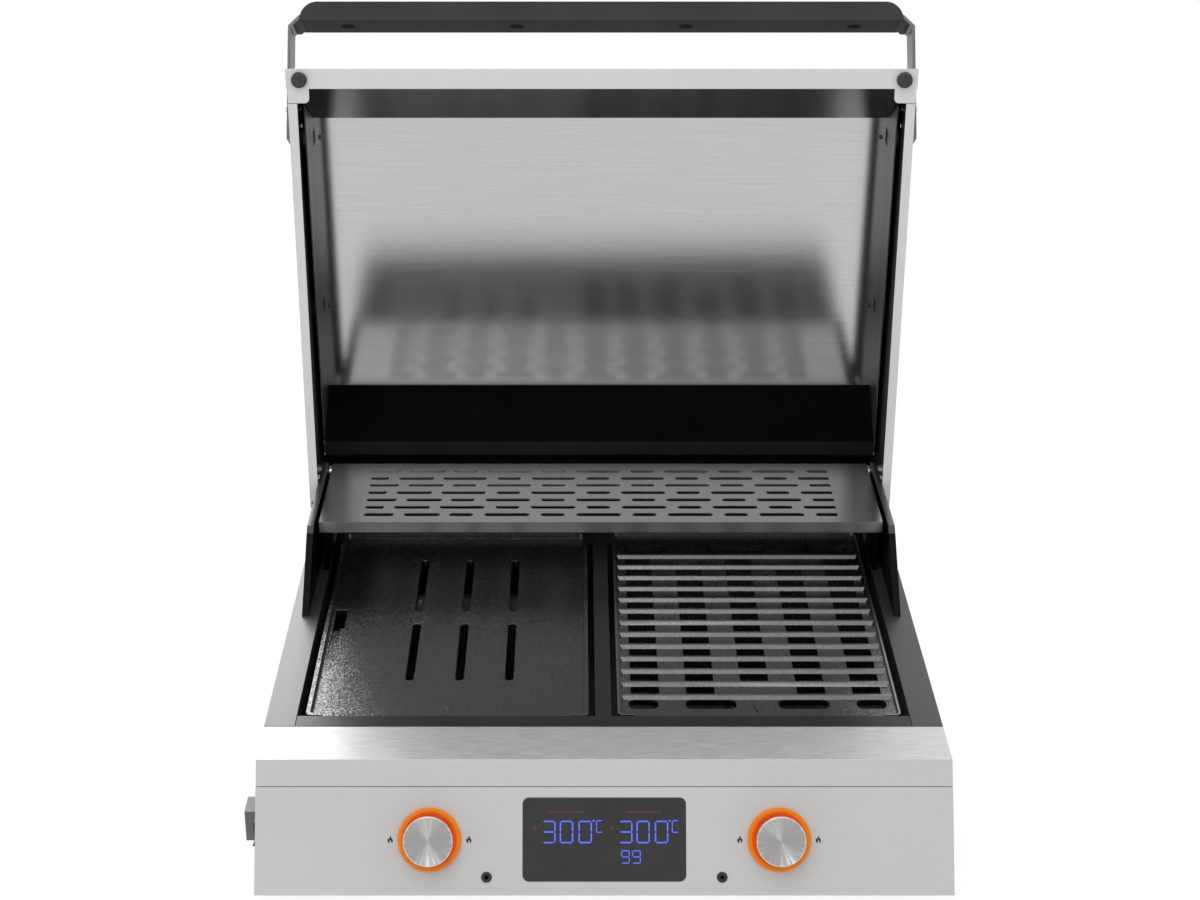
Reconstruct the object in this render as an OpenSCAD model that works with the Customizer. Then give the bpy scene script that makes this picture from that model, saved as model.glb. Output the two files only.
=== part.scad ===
// Two-zone countertop electric grill with a hinged lid, shown with the lid open.
// X runs to the right, Y to the back, Z up, and the table is at z = 0.
// Most places are given from the deck's front edge (back) and from the deck's top (up).

/* [Body] */
// Width of the body
body_w = 600; // [520:1:760]
// Height of the deck above the table
deck_h = 120; // [118:1:160]
// Depth of the deck from its front edge to its rear edge
deck_d = 505; // [490:1:620]
// Lean of the front face from the vertical, in degrees
panel_tilt = 29.5; // [24:0.5:33]
// Length of the front face down its slope
panel_face = 115.4; // [112:0.2:120]
// Thickness of the body's sheet metal
sheet = 1.5; // [1:0.1:2]
// Depth of the bright strip along the deck's front edge
strip_d = 54; // [50:1:70]
// Length of the front cap's lip down the front face
cap_lip = 23; // [16:1:26]
// Width of the seam between neighbouring sheets
seam = 0.4; // [0.2:0.1:1]
// Depth of the dark frame between the strip and the plates
frame_d = 18; // [12:1:30]
// Depth of the deck frame behind the plates
rear_frame_d = 57; // [54:1:80]
// Width of each side rail
rail_w = 27; // [24:1:34]
// Width of the divider between the zones
divider_w = 14.6; // [13:0.2:24]
// Distance from the deck's front edge back to the origin
origin_back = 266; // [200:1:300]

/* [Feet] */
// Diameter of each rubber foot
foot_d = 36; // [24:1:44]
// Distance of the feet from the body's sides
foot_inset = 50; // [40:1:90]
// Distance of the front feet behind the deck's front edge
foot_front = 12; // [4:1:40]
// Distance of the rear feet from the deck's rear edge
foot_rear = 35; // [30:1:80]

/* [Controls] */
// Distance of each knob from the middle of the panel
knob_x = 150; // [140:1:165]
// Distance of the knobs and the display down the front face
control_down = 68; // [62:0.5:70]
// Diameter of each knob
knob_d = 42.5; // [36:0.5:46]
// Height of each knob above the panel
knob_h = 24; // [18:0.5:30]
// Gap between a knob and its ring
knob_gap = 1; // [0.6:0.1:2]
// Width of the lit ring
ring_w = 4.9; // [3:0.1:8]
// Height of the lit ring above the panel
ring_h = 4.5; // [3:0.1:7]
// Diameter of each knob's shaft
shaft_d = 6; // [5:0.5:8]
// Running clearance around a shaft or pin
run_clear = 0.05; // [0.02:0.01:0.1]
// Width of the display window
window_w = 140; // [120:1:150]
// Height of the display window along the slope
window_h = 71; // [56:1:72]
// Corner radius of the display window
window_r = 5.4; // [2:0.2:10]
// Height of the window's face above the panel
window_proud = 0.5; // [0.2:0.1:1.5]
// Distance of each probe jack from the middle of the panel
jack_x = 101; // [96:1:106]
// Distance of the probe jacks down the front face
jack_down = 100; // [96:0.5:103]
// Diameter of a jack's bezel
jack_d = 9.3; // [8:0.1:11]
// Diameter of a jack's socket
jack_bore = 3.6; // [3.5:0.1:4]
// Height of the rocker switch's bezel
switch_h = 33; // [30:1:36]
// Width of the rocker switch's bezel
switch_w = 24; // [20:1:26]
// Distance of the switch behind the deck's front edge
switch_back = -9; // [-11:1:0]
// Distance of the switch below the deck
switch_down = 68; // [66:1:72]
// Tilt of the rocker as it rests, in degrees
rocker_tilt = 10; // [6:1:12]
// Width of the cable entry box, out from the side wall
cable_box_w = 15; // [13:1:22]
// Depth of the cable entry box
cable_box_d = 24; // [20:1:30]
// Height of the cable entry box
cable_box_h = 30; // [20:1:34]
// Diameter of the cable that the gland takes
cable_d = 7; // [5:0.5:8]

/* [Plates] */
// Gap between a plate and its rail
plate_gap_side = 7; // [4:0.5:12]
// Gap between a plate and the divider
plate_gap_mid = 5.7; // [3:0.1:12]
// Gap between a plate and the front frame
plate_gap_front = 3; // [1:0.5:4]
// Gap between a plate and the rear frame
plate_gap_rear = 8; // [1:0.5:8.5]
// Thickness of a plate's floor
plate_t = 6; // [5:0.5:8]
// Height of a plate's rim above its floor
rim_h = 6; // [4:0.5:8]
// Width of a plate's rim
rim_w = 4; // [3:0.5:6]
// Depth of the rims' tops below the deck
plate_drop = 1; // [0.5:0.5:3]
// Corner radius of a plate
plate_r = 5; // [3:0.5:6]
// Width of the griddle's slots
griddle_slot_w = 8; // [5:0.5:12]
// Length of the griddle's slots
griddle_slot_l = 108; // [80:1:115]
// Spacing of the griddle's slots across
griddle_slot_pitch = 46; // [30:1:56]
// Spacing of the two rows of griddle slots
griddle_row_pitch = 133; // [120:1:150]
// Spacing of the grate's ridges
ridge_pitch = 23.2; // [22:0.2:26]
// Height of the grate's ridges above its floor
ridge_h = 3.2; // [2:0.2:6]
// Width of a ridge at its top
ridge_top = 2.6; // [2:0.2:4]
// Width of a ridge at its foot
ridge_foot = 7; // [5:0.2:8]
// Spacing of the grate's openings across
opening_pitch = 50.5; // [46:0.5:52]
// Width of the grate's openings
opening_w = 26; // [16:0.5:30]

/* [Heating] */
// Depth of a firebox below the deck
firebox_d = 58; // [52:1:60]
// Thickness of a firebox's sheet
firebox_t = 1.2; // [0.8:0.1:1.5]
// Diameter of a heating element's tube
element_d = 7; // [6:0.5:8]
// Bend radius of a heating element
element_r = 25; // [18:1:28]
// Distance of a heating element below the deck
element_down = 32; // [29:1:36]
// Diameter of a temperature sensor
sensor_d = 5; // [4:0.5:6]
// Height of the drip tray
tray_h = 26; // [16:1:27]

/* [Lid] */
// Distance of the hinge axis from the deck's rear edge
hinge_front = 29.7; // [28:0.1:32]
// Height of the hinge axis above the deck
hinge_up = 52; // [51.5:0.1:54]
// Diameter of the hinge pins
pin_d = 8; // [6:0.5:9]
// Angle of the open lid in the rest pose
lid_angle = 90; // [80:1:95]
// Distance of the shut lid's front edge behind the deck's front edge
lid_back = 33.2; // [28:0.2:36]
// Height of the shut lid's rim above the deck
lid_up = 6; // [5:0.2:8]
// Height of the lid's front wall
lid_front_h = 140; // [134:1:160]
// Rise of the lid's roof towards the back, in degrees
roof_rise = 4; // [2:0.1:5]
// Distance of the lid's rear skirt behind the hinge axis
skirt_back = 20; // [19:0.1:21]
// Thickness of the lid's sheet metal
lid_t = 1.5; // [1:0.1:2]
// Overhang of the lid's front sheet past its side walls
lid_side_step = 1; // [0.5:0.1:2]
// Width of the lid's front rim
rim_front_w = 19.7; // [16:0.1:22]
// Width of the lid's side rims
rim_side_w = 8.8; // [7:0.1:9]
// Width of the corner plates on the lid's rim
corner_w = 21.7; // [20:0.1:26]
// Length of the corner plates on the lid's rim
corner_l = 33.7; // [26:0.1:36]
// Diameter of the lid's rubber bumpers
bumper_d = 14.8; // [10:0.2:16]
// Distance of each bumper from the lid's side
bumper_side = 13; // [11:0.5:16]
// Distance of each bumper from the lid's front edge
bumper_front = 10.5; // [9:0.5:12]
// Depth of the lid's rim below the heat shield's front edge
shield_up = 117.3; // [112:0.1:120]
// Distance of the shield's front edge behind the lid's front edge
shield_back = 81; // [78:0.5:90]
// Depth of the heat shield's side flanges
flange_h = 60; // [50:1:62]
// Thickness of the heat shield
shield_t = 1.2; // [0.8:0.1:1.5]

/* [Hinge cheeks and rack] */
// Thickness of a hinge cheek
cheek_t = 6.4; // [5:0.1:6.5]
// Clearance on each side of a cheek
cheek_clear = 0.6; // [0.4:0.1:0.8]
// Distance of a cheek's front foot behind the deck's front edge
cheek_back = 255; // [250:1:300]
// Depth of a cheek's sloped front edge
cheek_slope_d = 71; // [50:1:80]
// Radius of a cheek around the hinge axis
cheek_r = 10; // [8:0.5:10]
// Height of the warming rack above the deck
rack_up = 60; // [58:0.5:61]
// Depth of the warming rack
rack_d = 138; // [120:1:140]
// Distance of the rack's rear edge behind the hinge axis
rack_back = 2.7; // [0:0.1:4]
// Depth of the rack's front flange
rack_flange = 11.5; // [8:0.5:14]
// Thickness of the rack's sheet
rack_t = 1.2; // [0.8:0.1:2]
// Gap between the rack and the hinge cheeks
rack_gap = 3.8; // [2:0.1:5]
// Spacing of the rack's rows of slots
rack_row = 17; // [15:0.5:18]
// Spacing of the long slots along a row
rack_period = 91.5; // [84:0.5:100]
// Length of the long slots
rack_long = 45; // [38:1:50]
// Length of the short slots
rack_short = 24; // [16:1:28]
// Width of the slots
rack_slot_w = 7; // [4:0.5:8]

/* [Handle] */
// Distance between the lid's front wall and the grip bar
grip_gap = 56; // [44:1:66]
// Width of the grip bar
bar_w = 42.7; // [34:0.1:46]
// Thickness of the grip bar
bar_t = 18.7; // [14:0.1:22]
// Distance of the grip bar's ends from the body's sides
bar_inset = 9; // [9:0.5:14]
// Radius of the grip bar's rounded ends
bar_r = 17; // [8:0.5:18]
// Width of the handle's arms
arm_w = 34; // [30:1:38]
// Thickness of the handle's arms
arm_t = 3; // [2:0.2:4]
// Distance from the arms' bends to the grip bar
bend_gap = 5; // [3:0.5:6]
// Spacing of the two bolts in each arm
bolt_pitch = 17; // [14:0.5:20]
// Diameter of the handle's bolts
bolt_d = 4; // [3:0.5:5]

/* [Hidden] */
$fn = 48;

// Colours
steel = [0.78, 0.78, 0.77];
bright = [0.84, 0.85, 0.86];
black = [0.09, 0.09, 0.09];
graphite = [0.2, 0.2, 0.2];
casting = [0.25, 0.24, 0.23];
orange = [0.95, 0.42, 0.06];
board_green = [0.1, 0.35, 0.2];
rubber = [0.15, 0.15, 0.15];
ceramic = [0.86, 0.84, 0.78];

// Small allowances
cut = 1;
touch_clear = 0.3;
fit_clear = 0.2;
thread_d = 5;
head_d = 9;

// Body
half_w = body_w / 2;
face_z = panel_face * cos(panel_tilt);
face_y = panel_face * sin(panel_tilt);
foot_h = deck_h - face_z;
foot_bore = 0.41 * foot_h;
foot_head = 0.15 * foot_h;
foot_rim = 3;
foot_recess = 12;
floor_up = -face_z + sheet;
wall_in = half_w - sheet;
lap = sheet / cos(panel_tilt);
open_front = strip_d + frame_d;
open_rear = deck_d - rear_frame_d;
open_side = half_w - rail_w;
open_mid = divider_w / 2;
vent_count = 19;
vent_pitch = 24;
vent_l = 24;
vent_w = 5;
vent_down = 22;
upstand_gap = 5;
upstand_foot = 12;

// Hinge and lid
hinge_back = deck_d - hinge_front;
lid_half = half_w - lid_side_step;
lid_in = lid_half - lid_t;
lid_rear = hinge_back + skirt_back;
lid_lean = panel_tilt;
front_top_back = lid_back + lid_front_h * tan(lid_lean);
front_top_up = lid_up + lid_front_h;
rim_stop = 6;
rim_rear = lid_rear - lid_t - rim_stop;
skirt_gap = 4;
skirt_up = hinge_up + skirt_gap;
corner_r = 5;
cheek_out = lid_half - rim_side_w - cheek_clear;
cheek_in = cheek_out - cheek_t;
cheek_up = hinge_up + cheek_r;
flange_in = lid_half - rim_side_w + touch_clear;
flange_out = flange_in + shield_t;
shield_front = lid_back + shield_back;
shield_front_up = lid_up + shield_up;
shield_gap = 4.8;
shield_rear = hinge_back - shield_gap;
flange_run = 30;
flange_slope = 25.6;
baffle_lip = 15;
baffle_run = 55.2;
baffle_clear = 24.7;
baffle_foot = 6;
baffle_front = shield_rear - baffle_run;
baffle_rear = shield_rear - baffle_lip;
baffle_up = rack_up + baffle_clear;
flange_rear = baffle_rear - flange_slope;
post_d = 9;
post_bore = 4;
post_side = 6;
post_inset = 20.4;
post_pitch = 187;
post_backs = [shield_front + post_inset, shield_front + post_inset + post_pitch];
notch_l = 16;
notch_h = 8;
cheek_corner = 5;
cheek_screw_d = 4;
cheek_screw_back = 40;
cheek_screw_pitch = 120;
cheek_screw_up = 9;
pin_collar = 8;
pin_clip_w = 6;
pin_clip_l = 3;

// Warming rack
rack_half = cheek_in - rack_gap;
rack_rear = hinge_back + rack_back;
rack_front = rack_rear - rack_d;
rack_rows = floor((rack_d - 2 * rack_row) / rack_row) + 1;
rack_margin = 43;
rack_slot_half = rack_half - rack_margin;
rack_shift = 2;
rack_end_gap = 4;
rack_ends = [[[0, 30], [40, 76]], [[0, 19], [29, 65]]];
rack_tab = 6;
bracket_t = 3;
bracket_out = rack_half - rack_t - touch_clear;
bracket_back = 12;
bracket_d = 60;
bracket_hole = 22;

// Plates
plate_w = open_side - open_mid - plate_gap_side - plate_gap_mid;
plate_x = open_mid + plate_gap_mid + plate_w / 2;
plate_front = open_front + plate_gap_front;
plate_rear = open_rear - plate_gap_rear;
plate_l = plate_rear - plate_front;
plate_mid = (plate_front + plate_rear) / 2;
rim_up = -plate_drop;
griddle_up = rim_up - rim_h;
grate_up = rim_up - ridge_h;
plate_under = griddle_up - plate_t;
ledge_d = 12;
ledge_up = min(plate_under, grate_up - plate_t) - touch_clear;
plate_foot_d = 6;
plate_foot_side = 20;
plate_foot_end = 4;
rim_end = 15;
groove_w = 7;
groove_l = 76;
groove_slope = 2;
drain_side = rim_w + 3.3;
drain_w = 10.7;
drain_l = 37;
drain_front = 13;
slots_side = 7.3;
slots_back = 9;
ridge_first = 35;
ridge_margin = 80;
ridge_slope = 2;
ridge_count = floor((plate_l - ridge_margin) / ridge_pitch) + 1;
opening_count = 5;
front_openings = [[-103, 27], [-42, 46], [42, 46], [103, 27]];
front_opening_l = 15.6;
front_opening_r = 6;
rear_openings = [[-93, 43], [0, 61], [93, 43]];
rear_opening_w = 16;
rear_opening_gap = 18;
v_l = 13;
v_half = 4.5;
v_line = 1.1;
v_depth = 0.8;
griddle_v = 22.5;
grate_v = 15.5;

// Fireboxes and tray
zone_x = (open_side + open_mid) / 2;
firebox_lip = 5;
drain_margin = 40;
element_legs = 4;
element_span = (element_legs - 1) * element_r;
leg_front_gap = 30;
leg_rear_gap = 60;
leg_front = open_front + leg_front_gap;
leg_rear = open_rear - leg_rear_gap;
tail_l = 20;
block_gap = 8;
block_side = 10;
block_h = 16;
runner_h = 3;
tray_up = floor_up + runner_h + tray_h;
tray_side = 18;
tray_half = open_side - tray_side;
tray_t = 1.2;
tray_gap = 10;
tray_front = open_front + tray_gap;
tray_pull = 14;
tray_pull_t = 3;
runner_w = 16;
runner_up = 12;
tray_window_clear = 1;

// Controls behind the panel
board_out = -18;
board_t = 1.6;
board_above = 31;
board_below = 28;
board_side = 30;
board_top = control_down - board_above;
board_bottom = control_down + board_below;
board_half = knob_x + board_side;
board_hole = 1;
standoff_d = 6;
standoff_edge = 5;
standoff_in = 45;
encoder_w = 14;
encoder_h = 7;
encoder_bush = 3.5;
shaft_stop = 6;
shaft_tail = 1;
ring_in = knob_d / 2 + knob_gap;
ring_out = ring_in + ring_w;
spigot_t = 1.4;
spigot_l = 2;
ring_bevel = 0.8;
knob_edge = 1.2;
knob_low = 1;
knob_wall = 2.5;
knob_roof = 2;
knob_dish = 0.6;
knob_boss = 3;
spigot_out = ring_in + spigot_t;
jack_barrel = 6;
jack_depth = 14;
jack_lip = 1.2;
jack_nut = 2;
module_side = 7;
module_end = 6;
module_w = window_w - 2 * module_side;
module_h = window_h - 2 * module_end;
window_t = 2;
switch_proud = 2.6;
switch_deep = 22;
switch_lip = 2;
switch_r = 2;
rocker_l = 23;
rocker_side = 9;
rocker_w = switch_w - rocker_side;
rocker_end = 4;
rocker_pivot_in = 4;
rocker_pin = 3;
rocker_pin_end = 2;
entry_gap = 7;
entry_down = 75;
entry_t = 1.2;
entry_front = switch_back + switch_w / 2 + entry_gap;
gland_wall = 1.2;
gland_flange = 5;
gland_l = 9;
gland_tail = 5;
power_half = half_w / 2;
power_gap = 16;
power_d = 66;
power_rear = open_front - power_gap;
power_front = power_rear - power_d;
power_up = floor_up + 8;
post_edge = 6;
relay_count = 5;
relay_pitch = 44;
relay_w = 28;
relay_d = 16;
relay_h = 20;
fin_count = 8;
fin_t = 3;
fin_d = 20;
fin_h = 28;
sink_t = 4;

// Handle, measured out along the lid's front wall normal
bar_half = half_w - bar_inset;
bar_l = 2 * bar_half;
bar_hole_d = 14;
bar_hole_l = 9;
bar_hole_pitch = 0.282 * bar_l;
handle_low = 32;
arm_foot = 60;
arm_out = lid_half + arm_t;
arm_reach = grip_gap - bend_gap;
arm_inside = arm_out + arm_reach - arm_t * sqrt(2);
block_drop = 4.5;
block_l = 4.8;
block_land = 3;
bolt_row_back = lid_back + 46;
bolt_row_up = lid_up + 25.7;
bolt_tail = 7.5;
nut_h = 3.2;

// Place helpers
function ry(back) = back - origin_back;
function rz(up) = up + deck_h;
function roof_up(back) = front_top_up + (back - front_top_back) * tan(roof_rise);
function shield_z(back) = shield_front_up + (back - shield_front) * tan(roof_rise);

// A sheet profile drawn as back and up points, swept along X between two places
module sweep_x(x0, x1) {
    translate([x0, ry(0), rz(0)]) rotate([90, 0, 90]) linear_extrude(height = x1 - x0) children();
}

// A box given by its limits in x, back and up
module block(x, back, up) {
    translate([x[0], ry(back[0]), rz(up[0])]) cube([x[1] - x[0], back[1] - back[0], up[1] - up[0]]);
}

// Children stand on the front face, z along its outward normal and y up its slope
module on_panel(x, down) {
    translate([x, ry(-down * sin(panel_tilt)), rz(-down * cos(panel_tilt))])
        rotate([90 - panel_tilt, 0, 0]) children();
}

// Children are drawn as on the shut lid, and swing with it about the hinge axis
module on_lid() {
    translate([0, ry(hinge_back), rz(hinge_up)]) rotate([-lid_angle, 0, 0])
        translate([0, -ry(hinge_back), -rz(hinge_up)]) children();
}

// Children stand at the foot of the lid's front wall: z up the wall and y in through it
module on_front_wall() {
    translate([0, ry(lid_back), rz(lid_up)]) rotate([-lid_lean, 0, 0]) children();
}

// The same children on both sides of the middle
module both_sides() {
    children();
    mirror([1, 0, 0]) children();
}

// A cylinder along X from x0 to x1
module rod_x(x0, x1, d) {
    translate([x0, 0, 0]) rotate([0, 90, 0]) cylinder(d = d, h = x1 - x0);
}

// Flat outlines
module rounded(w, l, r) {
    square([w - 2 * r, l], center = true);
    square([w, l - 2 * r], center = true);
    for (sx = [-1, 1], sy = [-1, 1]) translate([sx * (w / 2 - r), sy * (l / 2 - r)]) circle(r = r);
}

module slot(l, w) {
    square([l - w, w], center = true);
    for (s = [-1, 1]) translate([s * (l - w) / 2, 0]) circle(d = w);
}

// Body
module base_tub() {
    rear_in = deck_d - sheet;
    vents = (vent_count - 1) / 2;
    color(steel) difference() {
        union() {
            both_sides() sweep_x(wall_in, half_w) polygon([
                [lap, -sheet], [deck_d, -sheet], [deck_d, -face_z], [-face_y + lap, -face_z]]);
            sweep_x(-wall_in, wall_in) polygon([
                [-face_y + lap, -face_z], [deck_d, -face_z], [deck_d, floor_up],
                [-face_y + lap + sheet * tan(panel_tilt), floor_up]]);
            block([-wall_in, wall_in], [rear_in, deck_d], [floor_up, -sheet]);
        }
        block([-tray_half - tray_window_clear, tray_half + tray_window_clear], [rear_in - cut, deck_d + cut],
            [floor_up + runner_h - tray_window_clear, tray_up + tray_window_clear]);
        for (i = [-vents:vents]) translate([i * vent_pitch, ry(deck_d + cut), rz(-vent_down)])
            rotate([90, 90, 0]) linear_extrude(height = sheet + 2 * cut) slot(vent_l, vent_w);
        block([-half_w - cut, -wall_in + cut],
            [switch_back - switch_w / 2 + switch_lip, switch_back + switch_w / 2 - switch_lip],
            [-switch_down - switch_h / 2 + switch_lip, -switch_down + switch_h / 2 - switch_lip]);
        translate([0, ry(entry_front + cable_box_d / 2), rz(-entry_down)])
            rod_x(-half_w - cut, -wall_in + cut, cable_d);
        feet_places() cylinder(d = thread_d, h = 2 * cut + 2 * sheet, center = true);
    }
}

module feet_places() {
    for (s = [-1, 1], back = [foot_front, deck_d - foot_rear])
        translate([s * (half_w - foot_inset), ry(back), foot_h]) children();
}

module feet() {
    low = foot_d / 2 - foot_rim;
    color(rubber) feet_places() translate([0, 0, -foot_h]) rotate_extrude() polygon([
        [thread_d / 2, foot_bore], [thread_d / 2, foot_h], [foot_d / 2, foot_h], [low, foot_rim / 2],
        [low - foot_rim / 3, 0], [foot_recess / 2, 0], [foot_recess / 2, foot_bore]]);
}

module foot_screws() {
    color(steel) feet_places() translate([0, 0, foot_bore - foot_h]) {
        translate([0, 0, -foot_head]) cylinder(d = head_d, h = foot_head);
        cylinder(d = thread_d, h = foot_h - foot_bore + sheet);
    }
}

module front_cap() {
    dir = [-sin(panel_tilt), -cos(panel_tilt)];
    foot = cap_lip * dir;
    color(bright) sweep_x(-half_w, half_w) polygon([
        [0, 0], [strip_d, 0], [strip_d, -sheet], [lap - sheet * tan(panel_tilt), -sheet],
        foot + sheet * [cos(panel_tilt), -sin(panel_tilt)], foot]);
}

module control_panel() {
    h = panel_face - cap_lip - seam;
    color(steel) difference() {
        on_panel(0, panel_face - h / 2) translate([-half_w, -h / 2, -sheet]) cube([body_w, h, sheet]);
        both_sides() on_panel(knob_x, control_down)
            cylinder(r = spigot_out + fit_clear, h = 2 * sheet + 2 * cut, center = true);
        on_panel(0, control_down) linear_extrude(height = 2 * sheet + 2 * cut, center = true)
            rounded(window_w + 2 * fit_clear, window_h + 2 * fit_clear, window_r + fit_clear);
        both_sides() on_panel(jack_x, jack_down)
            cylinder(d = jack_barrel + 2 * fit_clear, h = 2 * sheet + 2 * cut, center = true);
    }
}

module deck_frame() {
    half = open_side - seam;
    color(graphite) difference() {
        block([-half, half], [strip_d + seam, deck_d], [-sheet, 0]);
        both_sides() block([open_mid, open_side + cut], [open_front, open_rear], [-sheet - cut, cut]);
    }
}

module side_rail() {
    color(bright) block([open_side, half_w], [strip_d + seam, deck_d], [-sheet, 0]);
}
module side_rail_left() mirror([1, 0, 0]) side_rail();
module side_rail_right() side_rail();

module rear_upstand() {
    top = hinge_up - skirt_back - touch_clear;
    back = deck_d - upstand_gap;
    front = back - upstand_foot;
    color(graphite) sweep_x(-cheek_in + sheet, cheek_in - sheet) polygon([
        [front, 0], [back, 0], [back, top], [back - sheet, top], [back - sheet, sheet], [front, sheet]]);
}

module cheek() {
    top = cheek_back + cheek_slope_d;
    rear = hinge_back - cut;
    color(black) difference() {
        union() {
            sweep_x(cheek_in, cheek_out) polygon([[cheek_back, 0], [top - cheek_corner, cheek_up - cheek_corner],
                [top + cheek_corner / 2, cheek_up], [rear, cheek_up - touch_clear], [rear, 0]]);
            translate([0, ry(hinge_back), rz(hinge_up)]) rod_x(cheek_in, cheek_out, 2 * cheek_r);
        }
        translate([0, ry(hinge_back), rz(hinge_up)])
            rod_x(cheek_in - cut, cheek_out + cut, pin_d + 2 * run_clear);
        for (i = [0, 1])
            translate([0, ry(cheek_back + cheek_screw_back + i * cheek_screw_pitch), rz(cheek_screw_up)])
                rod_x(cheek_in - cut, cheek_out + cut, cheek_screw_d);
    }
}
module cheek_left() mirror([1, 0, 0]) cheek();
module cheek_right() cheek();

module cheek_screws() {
    color(black) both_sides() for (i = [0, 1])
        translate([cheek_in, ry(cheek_back + cheek_screw_back + i * cheek_screw_pitch), rz(cheek_screw_up)])
            rotate([0, -90, 0]) {
                cylinder(d1 = 2 * cheek_screw_d, d2 = 1.5 * cheek_screw_d, h = cheek_screw_d / 4);
                translate([0, 0, -cheek_t + cut]) cylinder(d = cheek_screw_d, h = cheek_t - cut);
            }
}

module rack_brackets() {
    front = rack_front + bracket_back;
    color(graphite) both_sides() difference() {
        union() {
            block([bracket_out - bracket_t, bracket_out], [front, front + bracket_d], [0, rack_up - rack_t]);
            block([open_side + seam, bracket_out], [front, front + bracket_d], [0, bracket_t]);
        }
        translate([0, ry(front + bracket_d / 2), rz(rack_up / 2)])
            rod_x(bracket_out - bracket_t - cut, bracket_out + cut, bracket_hole);
    }
}

module warming_rack() {
    color(bright) difference() {
        block([-rack_half, rack_half], [rack_front, rack_rear], [rack_up - rack_flange, rack_up]);
        block([-rack_half + rack_t, rack_half - rack_t], [rack_front + rack_t, rack_rear - rack_t],
            [rack_up - rack_flange - cut, rack_up - rack_t]);
        both_sides() block([rack_half - rack_t - cut, rack_half + cut],
            [rack_front + rack_t + rack_tab, rack_rear + cut], [rack_up - rack_flange - cut, rack_up - rack_t]);
        translate([0, ry(rack_front), rz(rack_up - rack_t - cut)]) linear_extrude(height = rack_t + 2 * cut)
            for (k = [0:rack_rows - 1]) translate([0, rack_row * (k + 1)]) rack_slots(k % 2);
    }
}

// One row of the rack: long and short slots by turns, odd rows shifted by half a period.
// The left end of each row has two slots of its own.
module rack_slots(odd) {
    n = ceil(rack_slot_half / rack_period) + 1;
    ends = rack_ends[odd];
    from = -rack_slot_half + ends[1][1] + rack_end_gap;
    intersection() {
        translate([from, -rack_slot_w]) square([rack_slot_half - from, 2 * rack_slot_w]);
        for (i = [-n:n]) {
            long_x = (i + odd / 2) * rack_period - rack_shift;
            translate([long_x, 0]) slot(rack_long, rack_slot_w);
            translate([long_x + rack_period / 2, 0]) slot(rack_short, rack_slot_w);
        }
    }
    for (e = ends) translate([-rack_slot_half + (e[0] + e[1]) / 2, 0]) slot(e[1] - e[0], rack_slot_w);
}

// Cooking zones
module firebox() {
    x = [open_mid - firebox_t, open_side + firebox_t];
    back = [open_front - firebox_t, open_rear + firebox_t];
    color(graphite) difference() {
        union() {
            block(x, back, [-firebox_d, -sheet]);
            block([open_mid - firebox_lip, open_side + firebox_lip], [open_front - firebox_lip,
                open_rear + firebox_lip], [-sheet - firebox_t, -sheet]);
        }
        difference() {
            block([open_mid, open_side], [open_front, open_rear], [-firebox_d + firebox_t, cut]);
            for (b = [open_front - cut, open_rear - ledge_d])
                block([open_mid - cut, open_side + cut], [b, b + ledge_d + cut],
                    [ledge_up - firebox_t, ledge_up]);
        }
        block([open_mid + drain_margin, open_side - drain_margin], [open_front + drain_margin,
            open_rear - drain_margin], [-firebox_d - cut, -firebox_d + 2 * firebox_t]);
        for (s = [-1, 1]) translate([zone_x + s * element_span, ry(open_rear - cut),
            rz(-element_down)]) rotate([-90, 0, 0])
                cylinder(d = element_d + 2 * run_clear, h = 2 * cut + firebox_t);
        translate([zone_x, ry(open_rear - cut), rz(-element_down)])
            rotate([-90, 0, 0]) cylinder(d = sensor_d + 2 * run_clear, h = 2 * cut + firebox_t);
    }
}
module firebox_left() mirror([1, 0, 0]) firebox();
module firebox_right() firebox();

module heating_element() {
    tail = open_rear + tail_l - leg_rear;
    color(graphite) translate([zone_x, 0, rz(-element_down)]) {
        for (i = [0:element_legs - 1]) {
            x = (2 * i - element_legs + 1) * element_r;
            outer = i == 0 || i == element_legs - 1;
            translate([x, ry(leg_front), 0]) rotate([-90, 0, 0])
                cylinder(d = element_d, h = leg_rear - leg_front + (outer ? tail : 0));
        }
        for (i = [0:element_legs - 2]) {
            x = (2 * i - element_legs + 2) * element_r;
            front = i % 2 == 0;
            translate([x, ry(front ? leg_front : leg_rear), 0]) rotate([0, 0, front ? 180 : 0])
                rotate_extrude(angle = 180) translate([element_r, 0]) circle(d = element_d);
        }
    }
}
module heating_element_left() mirror([1, 0, 0]) heating_element();
module heating_element_right() heating_element();

module sensors() {
    front = leg_rear + element_r + element_d;
    color(bright) both_sides() translate([zone_x, ry(front), rz(-element_down)]) rotate([-90, 0, 0])
        cylinder(d = sensor_d, h = open_rear + tail_l - front);
}

module terminal_blocks() {
    half = element_span + block_side;
    hole = tail_l - block_gap + cut;
    color(ceramic) both_sides() difference() {
        block([zone_x - half, zone_x + half], [open_rear + block_gap, deck_d - sheet],
            [-element_down - block_h / 2, -element_down + block_h / 2]);
        for (s = [-1, 1]) translate([zone_x + s * element_span, ry(open_rear + block_gap - cut),
            rz(-element_down)]) rotate([-90, 0, 0]) cylinder(d = element_d + 2 * run_clear, h = hole);
        translate([zone_x, ry(open_rear + block_gap - cut), rz(-element_down)])
            rotate([-90, 0, 0]) cylinder(d = sensor_d + 2 * run_clear, h = hole);
    }
}

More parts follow.
